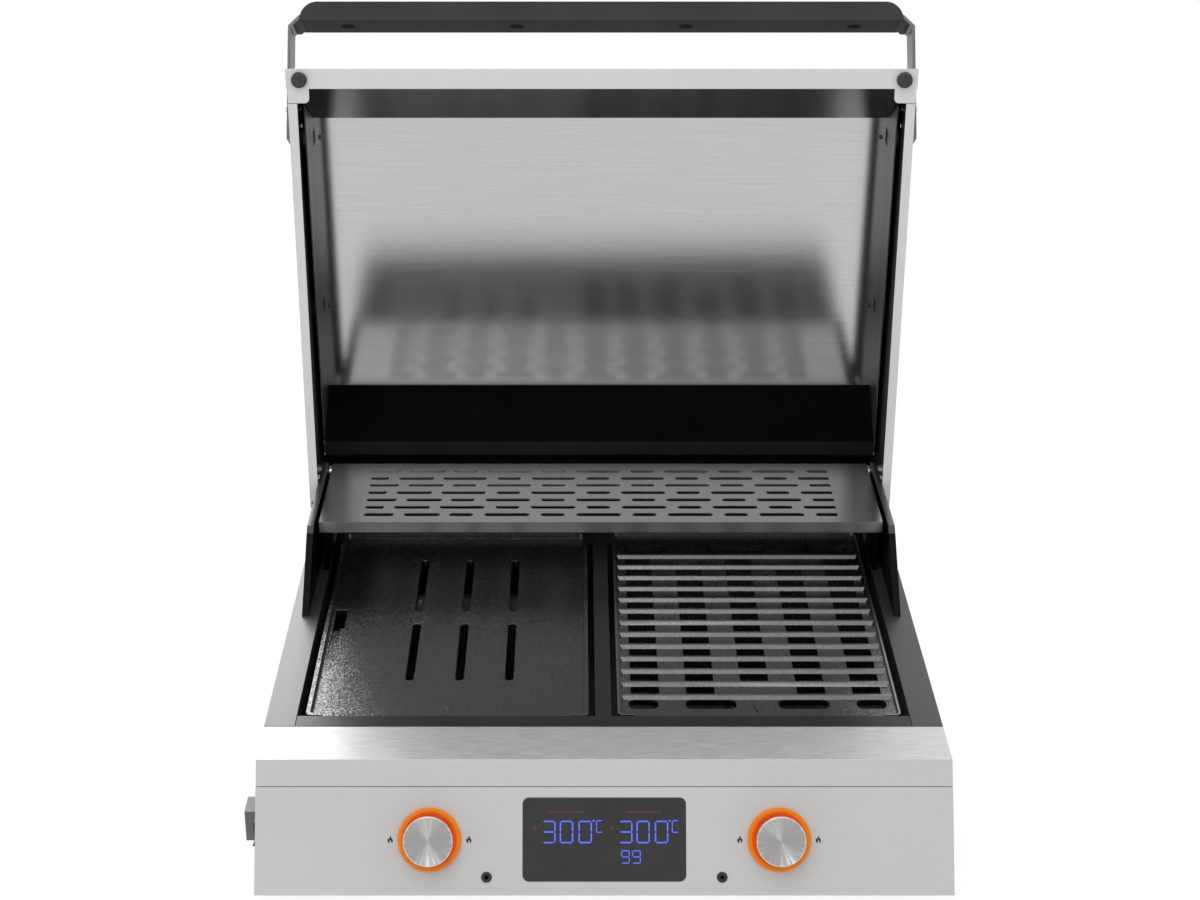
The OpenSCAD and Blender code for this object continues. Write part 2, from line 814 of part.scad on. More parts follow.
module drip_tray() {
    low = floor_up + runner_h + touch_clear;
    color(bright) union() {
        difference() {
            block([-tray_half, tray_half], [tray_front, deck_d], [low, tray_up]);
            block([-tray_half + tray_t, tray_half - tray_t], [tray_front + tray_t, deck_d - tray_t],
                [low + tray_t, tray_up + cut]);
        }
        block([-tray_half / 3, tray_half / 3], [deck_d - cut / 2, deck_d + tray_pull],
            [tray_up - tray_pull_t, tray_up]);
    }
}

module tray_runners() {
    side = tray_half + touch_clear;
    color(graphite) both_sides() {
        block([side - runner_w, side + sheet], [tray_front, deck_d - sheet], [floor_up, floor_up + runner_h]);
        block([side, side + sheet], [tray_front, deck_d - 3 * sheet],
            [floor_up + runner_h, floor_up + runner_up]);
    }
}

// A plate's front mark: an engraved V
module v_mark() {
    lean = atan(v_half / v_l);
    for (t = [-1, 1]) translate([t * v_half / 2, 0, 0]) rotate([0, 0, -t * lean])
        translate([-v_line / 2, -v_l / 2, -v_depth]) cube([v_line, v_l, v_depth + cut]);
}

// Feet under a plate that stand on the firebox's ledges
module plate_feet(under) {
    low = ledge_up + touch_clear;
    for (sx = [-1, 1], sy = [-1, 1])
        translate([sx * (plate_w / 2 - plate_foot_side), sy * (plate_l / 2 - plate_foot_end), low])
            cylinder(d = plate_foot_d, h = under - low + cut / 2);
}

// The left plate: smooth floor, raised rim open at the front, two rows of slots,
// and a drain at the left with a groove that deepens towards it
module griddle_plate() {
    drain_x = -plate_w / 2 + drain_side;
    color(casting) translate([-plate_x, ry(plate_mid), deck_h]) difference() {
        union() {
            translate([0, 0, plate_under]) linear_extrude(height = plate_t) rounded(plate_w, plate_l, plate_r);
            translate([0, 0, griddle_up - cut]) linear_extrude(height = rim_h + cut) difference() {
                rounded(plate_w, plate_l, plate_r);
                rounded(plate_w - 2 * rim_w, plate_l - 2 * rim_w, plate_r - rim_w / 2);
                translate([0, -plate_l / 2]) square([plate_w - 2 * rim_end, 4 * rim_w], center = true);
            }
            plate_feet(plate_under);
        }
        for (i = [-1:1], j = [-1, 1]) translate([i * griddle_slot_pitch + slots_side,
            j * griddle_row_pitch / 2 + slots_back, plate_under - cut]) rotate([0, 0, 90])
                linear_extrude(height = plate_t + 2 * cut) slot(griddle_slot_l, griddle_slot_w);
        translate([drain_x, -drain_front, plate_under - cut]) cube([drain_w, drain_l, plate_t + 2 * cut]);
        translate([drain_x, -drain_front - groove_l, griddle_up]) rotate([-groove_slope, 0, 0])
            cube([groove_w, groove_l + cut, plate_t]);
        translate([0, -plate_l / 2 + griddle_v, griddle_up]) v_mark();
    }
}

// The right plate: ridges across a floor with openings between them
module grate_plate() {
    first = -plate_l / 2 + ridge_first;
    last = first + (ridge_count - 1) * ridge_pitch;
    middle = (opening_count - 1) / 2;
    low = grate_up - plate_t;
    color(casting) translate([plate_x, ry(plate_mid), deck_h]) {
        difference() {
            union() {
                translate([0, 0, low]) linear_extrude(height = plate_t) rounded(plate_w, plate_l, plate_r);
                translate([0, 0, grate_up - cut]) linear_extrude(height = ridge_h + cut) difference() {
                    rounded(plate_w, plate_l, plate_r);
                    rounded(plate_w - rim_w, plate_l - rim_w, plate_r - rim_w / 2);
                    translate([0, -plate_l / 2]) square([plate_w - 2 * rim_end, 4 * rim_w], center = true);
                }
                plate_feet(low);
            }
            translate([0, 0, low - cut]) linear_extrude(height = plate_t + 2 * cut) {
                for (j = [0:ridge_count - 2], i = [0:opening_count - 1])
                    if (!(j == 0 && i == 2) && !(j == ridge_count - 2 && i % 2 == 1))
                        translate([(i - middle) * opening_pitch, first + (j + 0.5) * ridge_pitch])
                            square([opening_w, ridge_pitch - ridge_foot], center = true);
                for (o = front_openings) translate([o[0], first - (ridge_foot + front_opening_l) / 2])
                    rounded(o[1], front_opening_l, front_opening_r);
                for (o = rear_openings) translate([o[0], last + rear_opening_gap]) slot(o[1], rear_opening_w);
            }
            translate([0, -plate_l / 2 + grate_v, grate_up]) v_mark();
        }
        for (j = [0:ridge_count - 1]) translate([0, first + j * ridge_pitch, 0]) grate_ridge();
    }
}

// One ridge across the grate: a tapered bar with sloped ends
module grate_ridge() {
    half = plate_w / 2 - rim_w;
    root = cut / 2;
    intersection() {
        translate([-half, 0, grate_up]) rotate([90, 0, 90]) linear_extrude(height = 2 * half) polygon([
            [-ridge_foot / 2, -root], [ridge_foot / 2, -root], [ridge_foot / 2, 0], [ridge_top / 2, ridge_h],
            [-ridge_top / 2, ridge_h], [-ridge_foot / 2, 0]]);
        translate([0, ridge_foot, grate_up]) rotate([90, 0, 0]) linear_extrude(height = 2 * ridge_foot)
            polygon([[-half + ridge_slope, -root], [half - ridge_slope, -root], [half, ridge_h], [-half, ridge_h]]);
    }
}

// Controls
module display_window() {
    color(black) on_panel(0, control_down) translate([0, 0, window_proud - window_t])
        linear_extrude(height = window_t) rounded(window_w, window_h, window_r);
}

module display_module() {
    color(graphite) on_panel(0, control_down) translate([-module_w / 2, -module_h / 2, board_out])
        cube([module_w, module_h, window_proud - window_t - board_out]);
}

module control_board() {
    h = board_bottom - board_top;
    color(board_green) difference() {
        on_panel(0, board_bottom) translate([-board_half, 0, board_out - board_t])
            cube([2 * board_half, h, board_t]);
        both_sides() on_panel(knob_x, control_down) translate([0, 0, board_out - board_t - cut])
            cylinder(d = shaft_d + board_hole, h = board_t + 2 * cut);
    }
}

module board_standoffs() {
    color(bright) both_sides() for (down = [board_top + standoff_edge, board_bottom - standoff_edge])
        for (x = [knob_x - standoff_in, board_half - standoff_edge])
            on_panel(x, down) translate([0, 0, board_out]) cylinder(d = standoff_d, h = -sheet - board_out);
}

module encoder() {
    color(graphite) on_panel(knob_x, control_down) difference() {
        union() {
            translate([-encoder_w / 2, -encoder_w / 2, board_out]) cube([encoder_w, encoder_w, encoder_h]);
            translate([0, 0, board_out]) cylinder(d = shaft_d + encoder_bush, h = -board_out - sheet - cut);
        }
        translate([0, 0, board_out - cut]) cylinder(d = shaft_d + 2 * run_clear, h = -board_out + 2 * cut);
    }
}
module encoder_left() mirror([1, 0, 0]) encoder();
module encoder_right() encoder();

module knob_shaft() {
    color(bright) on_panel(knob_x, control_down) translate([0, 0, board_out - shaft_tail])
        cylinder(d = shaft_d, h = knob_h - shaft_stop - board_out + shaft_tail);
}
module knob_shaft_left() mirror([1, 0, 0]) knob_shaft();
module knob_shaft_right() knob_shaft();

module light_ring() {
    low = -sheet - spigot_l;
    color(orange) on_panel(knob_x, control_down) rotate_extrude() polygon([
        [ring_in, low], [spigot_out, low], [spigot_out, 0], [ring_out, 0], [ring_out, ring_h - ring_bevel],
        [ring_out - ring_bevel, ring_h], [ring_in + ring_w / 2, ring_h], [ring_in, ring_h / 2]]);
}
module light_ring_left() mirror([1, 0, 0]) light_ring();
module light_ring_right() light_ring();

module knob() {
    r = knob_d / 2;
    bore = shaft_d / 2 + run_clear;
    boss = shaft_d / 2 + knob_boss;
    roof = knob_h - knob_wall - knob_roof;
    stop = knob_h - shaft_stop + run_clear;
    color(bright) on_panel(knob_x, control_down) rotate_extrude() polygon([
        [bore, knob_low + knob_boss], [boss, knob_low + knob_boss], [boss, roof], [r - knob_wall, roof],
        [r - knob_wall, knob_low], [r, knob_low], [r, knob_h - knob_edge], [r - knob_edge, knob_h],
        [r - 2 * knob_edge, knob_h], [0, knob_h - knob_dish], [0, stop], [bore, stop]]);
}
module knob_left() mirror([1, 0, 0]) knob();
module knob_right() knob();

module probe_jack() {
    color(black) on_panel(jack_x, jack_down) difference() {
        union() {
            cylinder(d1 = jack_d, d2 = jack_d - jack_lip, h = jack_lip);
            translate([0, 0, -jack_depth - jack_nut]) cylinder(d = jack_barrel, h = jack_depth + jack_nut);
            translate([0, 0, -sheet - jack_nut]) cylinder(d = jack_d, h = jack_nut);
        }
        translate([0, 0, jack_lip - jack_depth]) cylinder(d = jack_bore, h = jack_depth + cut);
    }
}
module probe_jack_left() mirror([1, 0, 0]) probe_jack();
module probe_jack_right() probe_jack();

module power_board() {
    color(board_green) union() {
        block([-power_half, power_half], [power_front, power_rear], [power_up, power_up + board_t]);
        both_sides() for (back = [power_front + post_edge, power_rear - post_edge])
            translate([power_half - post_edge, ry(back), rz(floor_up)])
                cylinder(d = standoff_d, h = power_up - floor_up + cut / 2);
    }
}

// Relays, and a finned heat sink behind them
module power_parts() {
    top = power_up + board_t;
    first = (relay_count - 1) / 2;
    sink = power_half - 2 * post_edge;
    fin_pitch = (2 * sink - fin_t) / (fin_count - 1);
    sink_back = [power_rear - post_edge / 2 - fin_d, power_rear - post_edge / 2];
    color(graphite) {
        for (i = [-first:first]) translate([i * relay_pitch, 0, 0])
            block([-relay_w / 2, relay_w / 2], [sink_back[0] - relay_d - post_edge, sink_back[0] - post_edge],
                [top, top + relay_h]);
        block([-sink, sink], sink_back, [top, top + sink_t]);
        for (i = [0:fin_count - 1]) translate([i * fin_pitch - sink, 0, 0])
            block([0, fin_t], sink_back, [top, top + fin_h]);
    }
}

module switch_body() {
    inset = 2 * switch_lip + 2 * fit_clear;
    color(black) translate([-half_w, ry(switch_back), rz(-switch_down)]) rotate([0, -90, 0]) difference() {
        union() {
            linear_extrude(height = switch_proud) rounded(switch_h, switch_w, switch_r);
            translate([0, 0, -switch_deep]) linear_extrude(height = switch_deep + cut)
                square([switch_h - inset, switch_w - inset], center = true);
        }
        translate([0, 0, switch_lip - switch_deep]) linear_extrude(height = switch_deep + 2 * switch_proud)
            square([rocker_l + rocker_end, rocker_w + 2 * touch_clear], center = true);
        translate([0, 0, -rocker_pivot_in]) rotate([90, 0, 0])
            cylinder(d = rocker_pin + 2 * run_clear, h = rocker_w + 2 * rocker_pin_end + cut, center = true);
    }
}

// The rocker turns about its pin, and its lower end stands out
module switch_rocker() {
    half = rocker_l / 2;
    low = -5;
    edge = 4;
    horn = 7.5;
    dip = 5.2;
    color(rubber) translate([-half_w, ry(switch_back), rz(-switch_down)]) rotate([0, -90, 0])
        translate([0, 0, -rocker_pivot_in]) rotate([0, rocker_tilt, 0]) {
            rotate([90, 0, 0]) linear_extrude(height = rocker_w, center = true) polygon([
                [-half + rocker_end, low], [half - rocker_end, low], [half, edge], [half - touch_clear, horn],
                [0, dip], [-half + touch_clear, horn], [-half, edge]]);
            rotate([90, 0, 0]) cylinder(d = rocker_pin, h = rocker_w + 2 * rocker_pin_end, center = true);
        }
}

module cable_box() {
    low = -entry_down - cable_box_h / 2;
    high = low + cable_box_h;
    t = entry_t;
    color(steel) difference() {
        block([-half_w - cable_box_w, -half_w], [entry_front, entry_front + cable_box_d], [low, high]);
        block([-half_w - cable_box_w + t, -half_w + cut], [entry_front + t, entry_front + cable_box_d - t],
            [low + t, high - t]);
        gland_place() cylinder(d = cable_d + 2 * gland_wall + 2 * run_clear, h = 4 * gland_tail, center = true);
    }
}

module gland_place() {
    translate([-half_w - cable_box_w / 2, ry(entry_front + cable_box_d), rz(-entry_down)])
        rotate([-90, 0, 0]) children();
}

module cable_gland() {
    color(rubber) gland_place() difference() {
        union() {
            cylinder(d1 = cable_d + gland_flange, d2 = cable_d + 2 * gland_wall, h = gland_l);
            translate([0, 0, -gland_tail]) cylinder(d = cable_d + 2 * gland_wall, h = gland_tail + cut);
        }
        translate([0, 0, -gland_tail - cut]) cylinder(d = cable_d, h = gland_l + gland_tail + 2 * cut);
    }
}

// Lid, drawn shut
module hinge_pin() {
    color(bright) on_lid() translate([0, ry(hinge_back), rz(hinge_up)]) {
        rod_x(cheek_in - pin_clip_l, lid_in, pin_d);
        rod_x(cheek_out + cheek_clear, lid_in, pin_d + pin_collar);
        rod_x(cheek_in - pin_clip_l, cheek_in - cheek_clear, pin_d + pin_clip_w);
    }
}
module hinge_pin_left() mirror([1, 0, 0]) hinge_pin();
module hinge_pin_right() hinge_pin();

module lid_shell() {
    lap_y = lid_t / cos(lid_lean);
    roof_t = lid_t / cos(roof_rise);
    plate_end = lid_back + corner_l + seam;
    side = [[lid_back + lap_y + lid_t * tan(lid_lean), lid_up + lid_t], [plate_end, lid_up + lid_t],
        [plate_end, lid_up], [lid_rear, lid_up], [lid_rear, roof_up(lid_rear)],
        [front_top_back + lap_y, roof_up(front_top_back + lap_y)]];
    color(steel) on_lid() difference() {
        union() {
            both_sides() sweep_x(lid_in, lid_half) polygon(side);
            sweep_x(-lid_half, lid_half) polygon([
                [front_top_back + lap_y, roof_up(front_top_back + lap_y)], [lid_rear, roof_up(lid_rear)],
                [lid_rear, roof_up(lid_rear) - roof_t],
                [front_top_back + lap_y - roof_t * tan(lid_lean), roof_up(front_top_back + lap_y) - roof_t]]);
            block([-lid_half, lid_half], [lid_rear - lid_t, lid_rear],
                [skirt_up, roof_up(lid_rear) - roof_t / 2]);
            both_sides() block([lid_half - rim_side_w, lid_half], [lid_back + corner_l + seam, rim_rear],
                [lid_up, lid_up + lid_t]);
        }
        both_sides() bolt_places() cylinder(d = bolt_d + 2 * fit_clear, h = 4 * lid_t, center = true);
    }
}

// Front sheet of the lid with its rim, notched where the handle's arms pass
module lid_front() {
    lap_y = lid_t / cos(lid_lean);
    color(steel) on_lid() difference() {
        union() {
            sweep_x(-half_w, half_w) polygon([
                [lid_back, lid_up], [front_top_back, front_top_up],
                [front_top_back + lap_y, roof_up(front_top_back + lap_y)],
                [lid_back + lap_y + lid_t * tan(lid_lean), lid_up + lid_t],
                [lid_back + rim_front_w, lid_up + lid_t], [lid_back + rim_front_w, lid_up]]);
            both_sides() translate([half_w - corner_w, ry(lid_back + rim_front_w - cut), rz(lid_up)])
                linear_extrude(height = lid_t) corner_plate();
        }
        both_sides() on_front_wall() translate([lid_half, -cut, handle_low - seam])
            cube([lid_side_step + cut, lid_t + 2 * cut, arm_w + 2 * seam]);
    }
}

// A corner plate of the rim, with one rounded inner corner
module corner_plate() {
    w = corner_w - lid_side_step;
    l = corner_l - rim_front_w + cut;
    translate([corner_r, 0]) square([w - corner_r, l]);
    square([w, l - corner_r]);
    translate([corner_r, l - corner_r]) circle(r = corner_r);
}

module bolt_places() {
    for (i = [0, 1]) translate([lid_half, ry(0), rz(0)])
        translate([0, bolt_row_back + i * bolt_pitch, bolt_row_up]) rotate([0, 90, 0]) children();
}

module heat_shield() {
    color(bright) on_lid() difference() {
        union() {
            sweep_x(-flange_out, flange_out) polygon([
                [shield_front, shield_front_up], [shield_rear, shield_z(shield_rear)],
                [shield_rear, shield_z(shield_rear) + shield_t], [shield_front, shield_front_up + shield_t]]);
            both_sides() sweep_x(flange_in, flange_out) polygon([
                [shield_front - flange_run, shield_front_up - flange_h], [shield_front, shield_front_up],
                [shield_front, shield_front_up + shield_t], [shield_rear, shield_z(shield_rear) + shield_t],
                [shield_rear, baffle_up], [baffle_rear, baffle_up],
                [flange_rear, shield_z(flange_rear) - flange_h]]);
        }
        post_places() cylinder(d = post_bore + 2 * fit_clear, h = 2 * post_d, center = true);
        both_sides() for (back = post_backs)
            block([flange_in - cut, flange_out + cut], [back - notch_l / 2, back + notch_l / 2],
                [shield_z(back) - notch_h, shield_z(back) - fit_clear]);
    }
}

// Places of the posts that hold the shield under the roof
module post_places() {
    both_sides() for (back = post_backs)
        translate([flange_in - post_side, ry(back), rz(shield_z(back))]) children();
}

module shield_posts() {
    over = post_d;
    color(graphite) on_lid() difference() {
        both_sides() for (back = post_backs)
            translate([flange_in - post_side, ry(back), rz(0)]) cylinder(d = post_d, h = roof_up(back));
        sweep_x(-half_w, half_w) polygon([
            [lid_back, 0], [lid_rear, 0], [lid_rear, shield_z(lid_rear) + shield_t],
            [lid_back, shield_z(lid_back) + shield_t]]);
        sweep_x(-half_w, half_w) polygon([
            [lid_back, roof_up(lid_back) - lid_t / cos(roof_rise)],
            [lid_rear, roof_up(lid_rear) - lid_t / cos(roof_rise)],
            [lid_rear, roof_up(lid_rear) + over], [lid_back, roof_up(lid_back) + over]]);
        post_places() cylinder(d = post_bore, h = 5 * post_d, center = true);
    }
}

module shield_screws() {
    color(black) on_lid() post_places() translate([0, 0, -post_bore / 2])
        cylinder(d = post_bore, h = 2 * post_d - post_bore);
}

module front_baffle() {
    t = shield_t;
    foot = lid_back + rim_front_w;
    color(black) on_lid() sweep_x(-flange_in, flange_in) polygon([
        [foot, lid_up + lid_t], [shield_front, shield_front_up], [shield_front, shield_front_up + t],
        [shield_front - t, shield_front_up + t], [foot - t, lid_up + lid_t + t],
        [foot - baffle_foot, lid_up + lid_t + t], [foot - baffle_foot, lid_up + lid_t]]);
}

module rear_baffle() {
    t = shield_t;
    color(black) on_lid() sweep_x(-flange_in, flange_in) polygon([
        [baffle_front, shield_z(baffle_front)], [baffle_rear, baffle_up], [shield_rear, baffle_up],
        [shield_rear, baffle_up + t], [baffle_rear + t, baffle_up + t],
        [baffle_front + t, shield_z(baffle_front + t)]]);
}

module lid_bumpers() {
    h = lid_up - touch_clear;
    edge = 1.2;
    color(rubber) on_lid() both_sides()
        translate([half_w - bumper_side, ry(lid_back + bumper_front), rz(lid_up - h)]) {
            translate([0, 0, edge]) cylinder(d = bumper_d, h = h - edge);
            cylinder(d1 = bumper_d - 2 * edge, d2 = bumper_d, h = edge);
        }
}

// Handle: the arms run out square to the lid's front wall
module on_handle() {
    on_lid() on_front_wall() children();
}

module handle_bar() {
    color(graphite) on_handle() difference() {
        translate([0, 0, handle_low]) linear_extrude(height = bar_w) bar_outline();
        for (i = [-1.5:1:1.5]) translate([i * bar_hole_pitch, -grip_gap - bar_hole_l, handle_low + bar_w / 2])
            rotate([-90, 0, 0]) cylinder(d = bar_hole_d, h = bar_hole_l + cut);
    }
}

// Outline of the grip bar: flat near side, far corners rounded
module bar_outline() {
    far = -grip_gap - bar_t;
    intersection() {
        translate([-bar_half, far]) square([bar_l, bar_t]);
        union() {
            translate([-bar_half, far + bar_r]) square([bar_l, bar_t]);
            translate([bar_r - bar_half, far]) square([bar_l - 2 * bar_r, bar_t]);
            for (t = [-1, 1]) translate([t * (bar_half - bar_r), far + bar_r]) circle(r = bar_r);
        }
    }
}

// An arm runs out beside the lid, then slants in to the end of the bar
module handle_arm() {
    trim = grip_gap + arm_foot + arm_w;
    color(steel) difference() {
        on_handle() translate([0, 0, handle_low]) linear_extrude(height = arm_w) polygon([
            [lid_half, arm_foot], [arm_out, arm_foot], [arm_out, -arm_reach],
            [bar_half, bar_half - arm_out - arm_reach], [bar_half, bar_half - arm_inside],
            [lid_half, lid_half - arm_inside]]);
        on_lid() block([lid_half - cut, arm_out + cut], [lid_back - trim, lid_back + trim],
            [lid_up - trim, lid_up]);
        on_lid() bolt_places() cylinder(d = bolt_d + 2 * fit_clear, h = 6 * arm_t, center = true);
    }
}
module handle_arm_left() mirror([1, 0, 0]) handle_arm();
module handle_arm_right() handle_arm();

// Wedges between the arms' slanted ends and the bar
module handle_end_blocks() {
    low = -grip_gap + block_drop;
    side = arm_inside + low;
    color(graphite) on_handle() both_sides()
        translate([0, 0, handle_low]) linear_extrude(height = arm_w) polygon([
            [side, low], [bar_half, bar_half - arm_inside], [bar_half, -grip_gap],
            [bar_half - block_land, -grip_gap], [side - block_l, low]]);
}

module handle_bolts() {
    color(bright) on_lid() both_sides() bolt_places() {
        translate([0, 0, arm_t]) cylinder(d1 = 2.2 * bolt_d, d2 = 1.5 * bolt_d, h = 0.7 * bolt_d);
        translate([0, 0, -lid_t - bolt_tail]) cylinder(d = bolt_d, h = arm_t + lid_t + bolt_tail + cut);
        translate([0, 0, -lid_t - nut_h]) cylinder(d = 1.8 * bolt_d, h = nut_h, $fn = 6);
    }
}

base_tub();
front_cap();
control_panel();
deck_frame();
side_rail_left();
side_rail_right();
rear_upstand();
feet();
foot_screws();
cheek_left();
cheek_right();
cheek_screws();
firebox_left();
firebox_right();
heating_element_left();
heating_element_right();
sensors();
terminal_blocks();
drip_tray();
tray_runners();
griddle_plate();
grate_plate();
warming_rack();
rack_brackets();
display_window();
display_module();
control_board();
board_standoffs();
encoder_left();
encoder_right();
light_ring_left();
light_ring_right();
knob_left();
knob_right();
knob_shaft_left();
knob_shaft_right();
probe_jack_left();
probe_jack_right();
power_board();
power_parts();
switch_body();
switch_rocker();
cable_box();
cable_gland();
hinge_pin_left();
hinge_pin_right();
lid_shell();
lid_front();
heat_shield();
front_baffle();
rear_baffle();
shield_posts();
shield_screws();
lid_bumpers();
handle_bar();
handle_arm_left();
handle_arm_right();
handle_end_blocks();
handle_bolts();
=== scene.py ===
"""Looks of the two-zone electric grill: materials, small pieces, light and camera around the CAD part."""
import math

import bmesh
import bpy
from mathutils import Matrix, Vector


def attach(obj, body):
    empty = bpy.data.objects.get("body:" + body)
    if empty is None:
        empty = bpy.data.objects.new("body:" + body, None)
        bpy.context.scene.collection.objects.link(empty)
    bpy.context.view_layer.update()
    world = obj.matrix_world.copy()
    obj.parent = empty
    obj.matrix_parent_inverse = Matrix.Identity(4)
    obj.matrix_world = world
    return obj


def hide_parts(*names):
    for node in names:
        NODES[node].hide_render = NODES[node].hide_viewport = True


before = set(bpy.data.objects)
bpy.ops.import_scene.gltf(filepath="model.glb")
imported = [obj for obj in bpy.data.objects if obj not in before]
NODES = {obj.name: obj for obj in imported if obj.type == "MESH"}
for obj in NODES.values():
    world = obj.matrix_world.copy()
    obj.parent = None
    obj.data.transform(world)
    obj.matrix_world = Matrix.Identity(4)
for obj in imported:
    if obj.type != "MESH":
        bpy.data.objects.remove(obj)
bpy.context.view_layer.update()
MM = 0.001

# Places and sizes repeated from the part's source, in millimetres
DECK_H = 120.0
ORIGIN_BACK = 266.0
PANEL_TILT = math.radians(29.5)
CONTROL_DOWN = 68.0
KNOB_X = 150.0
KNOB_R = 21.25
KNOB_H = 24.0
RING_IN = 22.25
RING_OUT = 27.15
RING_H = 4.5
WINDOW_PROUD = 0.5

# Sizes of the looks, in millimetres
PRINT_T = 0.06           # thickness of printed and lit marks
RING_SHOULDER = 2.4      # from the lit ring's inner edge to its flat top
RIDGE_LIGHT_H = 2.8        # upper part of the grate that gets the lighter ridge casting, painted light
LID_MIDDLE_BACK = 510.0  # a point inside the open lid, behind the deck's front edge
LID_MIDDLE_UP = 280.0    # and above the deck
FLAME_OFFSET = 33.7      # from a knob's middle to the flame marks beside it
WELD_GAP = 0.01
FLAT_ANGLE = math.radians(0.5)
EDGE_ANGLE = math.radians(30.0)
TURN_STEPS = 128

# Depth of the relief in the materials, in metres
FINE = 0.0002
FINER = 0.0001

# Camera fitted to the photograph
CAM_PLACE = (-0.0225, -1.8732, 1.1417)
CAM_PITCH = math.radians(24.40)
CAM_LENS = 65.715
CAM_SENSOR = 36.0
CAM_SHIFT_X = 0.01825
CAM_REACH = 50.0


# Node helpers
class Nodes:
    """A node tree, with short calls for the nodes that the materials and the world share."""

    def __init__(self, tree):
        self.tree = tree

    def add(self, kind, **settings):
        """A new node; each setting is one of its properties, or else the value of the input of that name."""
        made = self.tree.nodes.new(kind)
        for key, value in settings.items():
            if hasattr(made, key):
                setattr(made, key, value)
            else:
                made.inputs[key.replace("_", " ")].default_value = value
        return made

    def link(self, out, to):
        self.tree.links.new(out, to)

    def ramp(self, fac, low, high, start=0.0, end=1.0):
        made = self.add("ShaderNodeValToRGB")
        first, last = made.color_ramp.elements
        first.position, first.color = start, low
        last.position, last.color = end, high
        self.link(fac, made.inputs["Fac"])
        return made.outputs["Color"]

    def span(self, fac, low, high, start=0.0, end=1.0):
        """Maps the range from start to end onto the range from low to high."""
        made = self.add("ShaderNodeMapRange", From_Min=start, From_Max=end, To_Min=low, To_Max=high)
        self.link(fac, made.inputs["Value"])
        return made.outputs["Result"]

    def mix(self, fac, first, second):
        made = self.add("ShaderNodeMixShader")
        self.link(fac, made.inputs["Fac"])
        self.link(first, made.inputs[1])
        self.link(second, made.inputs[2])
        return made.outputs["Shader"]

    def seen_by(self, *rays):
        """1 for rays of the named kinds, and 0 for all others."""
        path = self.add("ShaderNodeLightPath")
        out = path.outputs[rays[0]]
        for ray in rays[1:]:
            most = self.add("ShaderNodeMath", operation="MAXIMUM")
            self.link(out, most.inputs[0])
            self.link(path.outputs[ray], most.inputs[1])
            out = most.outputs["Value"]
        return out


class Shader(Nodes):
    """A material with a Principled shader; values are the shader's constant inputs."""

    def __init__(self, name, **values):
        self.mat = bpy.data.materials.new(name)
        self.mat.use_nodes = True
        super().__init__(self.mat.node_tree)
        self.bsdf = self.tree.nodes["Principled BSDF"]
        for key, value in values.items():
            self.bsdf.inputs[key.replace("_", " ")].default_value = value

    def feed(self, out, *names):
        """Links an output to the Principled shader's inputs of these names."""
        for name in names:
            self.link(out, self.bsdf.inputs[name])

    def coords(self, scale=(1, 1, 1)):
        place = self.add("ShaderNodeTexCoord")
        mapping = self.add("ShaderNodeMapping", Scale=scale)
        self.link(place.outputs["Object"], mapping.inputs["Vector"])
        return mapping.outputs["Vector"]

    def noise(self, vector, scale, detail=3.0, roughness=0.55):
        made = self.add("ShaderNodeTexNoise", Scale=scale, Detail=detail, Roughness=roughness)
        self.link(vector, made.inputs["Vector"])
        return made.outputs["Fac"]

    def total(self, base, extra, weight):
        """base + weight * extra"""
        made = self.add("ShaderNodeMath", operation="MULTIPLY_ADD")
        made.inputs[1].default_value = weight
        self.link(extra, made.inputs[0])
        self.link(base, made.inputs[2])
        return made.outputs["Value"]

    def vector(self, operation, first, second=None, **settings):
        """Vector arithmetic; second is a constant tuple or another node's output."""
        made = self.add("ShaderNodeVectorMath", operation=operation, **settings)
        self.link(first, made.inputs[0])
        if isinstance(second, tuple):
            made.inputs[1].default_value = second
        elif second is not None:
            self.link(second, made.inputs[1])
        return made.outputs["Value" if operation == "LENGTH" else "Vector"]

    def bump(self, height, strength, distance=FINE):
        made = self.add("ShaderNodeBump", Strength=strength, Distance=distance)
        self.link(height, made.inputs["Height"])
        self.feed(made.outputs["Normal"], "Normal")

    def tangent(self, axis):
        made = self.add("ShaderNodeTangent", direction_type="RADIAL", axis=axis)
        self.feed(made.outputs["Tangent"], "Tangent")


def grey(value, warm=0.0):
    return (value * (1 + warm), value, value * (1 - warm), 1.0)


# Materials: low and high are the ends of the base colour, and rough is the mean roughness
def satin_sheet(name, low, high, rough, metallic=0.0, gloss=0.5):
    """Fine satin sheet: faint clouding, a fine grain along the width and uneven gloss."""
    s = Shader(name, Metallic=metallic, Specular_IOR_Level=gloss)
    clouds = s.noise(s.coords(), 9.0, 2.0)
    grain = s.noise(s.coords((60, 900, 900)), 1.0, 2.0)
    tone = s.total(clouds, grain, 0.35)
    s.feed(s.ramp(tone, grey(low, 0.006), grey(high, 0.006), 0.35, 1.0), "Base Color")
    s.feed(s.span(grain, rough - 0.04, rough + 0.05), "Roughness")
    s.bump(grain, 0.05)
    return s.mat


def brushed_steel(name, low, high, rough, axis, streak, aniso, uneven=0.08, grain=0.08, tint=0.0):
    """Brushed steel: long streaks in colour, gloss and height, and a highlight stretched around the axis."""
    s = Shader(name, Metallic=1.0, Anisotropic=aniso)
    streaks = s.noise(s.coords(streak), 1.0, 4.0, 0.62)
    clouds = s.noise(s.coords((3, 9, 9)), 1.0, 2.0)
    tone = s.total(streaks, clouds, 0.3)
    s.feed(s.ramp(tone, grey(low, tint), grey(high, tint), 0.4, 0.95), "Base Color")
    s.feed(s.span(streaks, rough - uneven, rough + uneven), "Roughness")
    s.bump(streaks, grain)
    s.tangent(axis)
    return s.mat


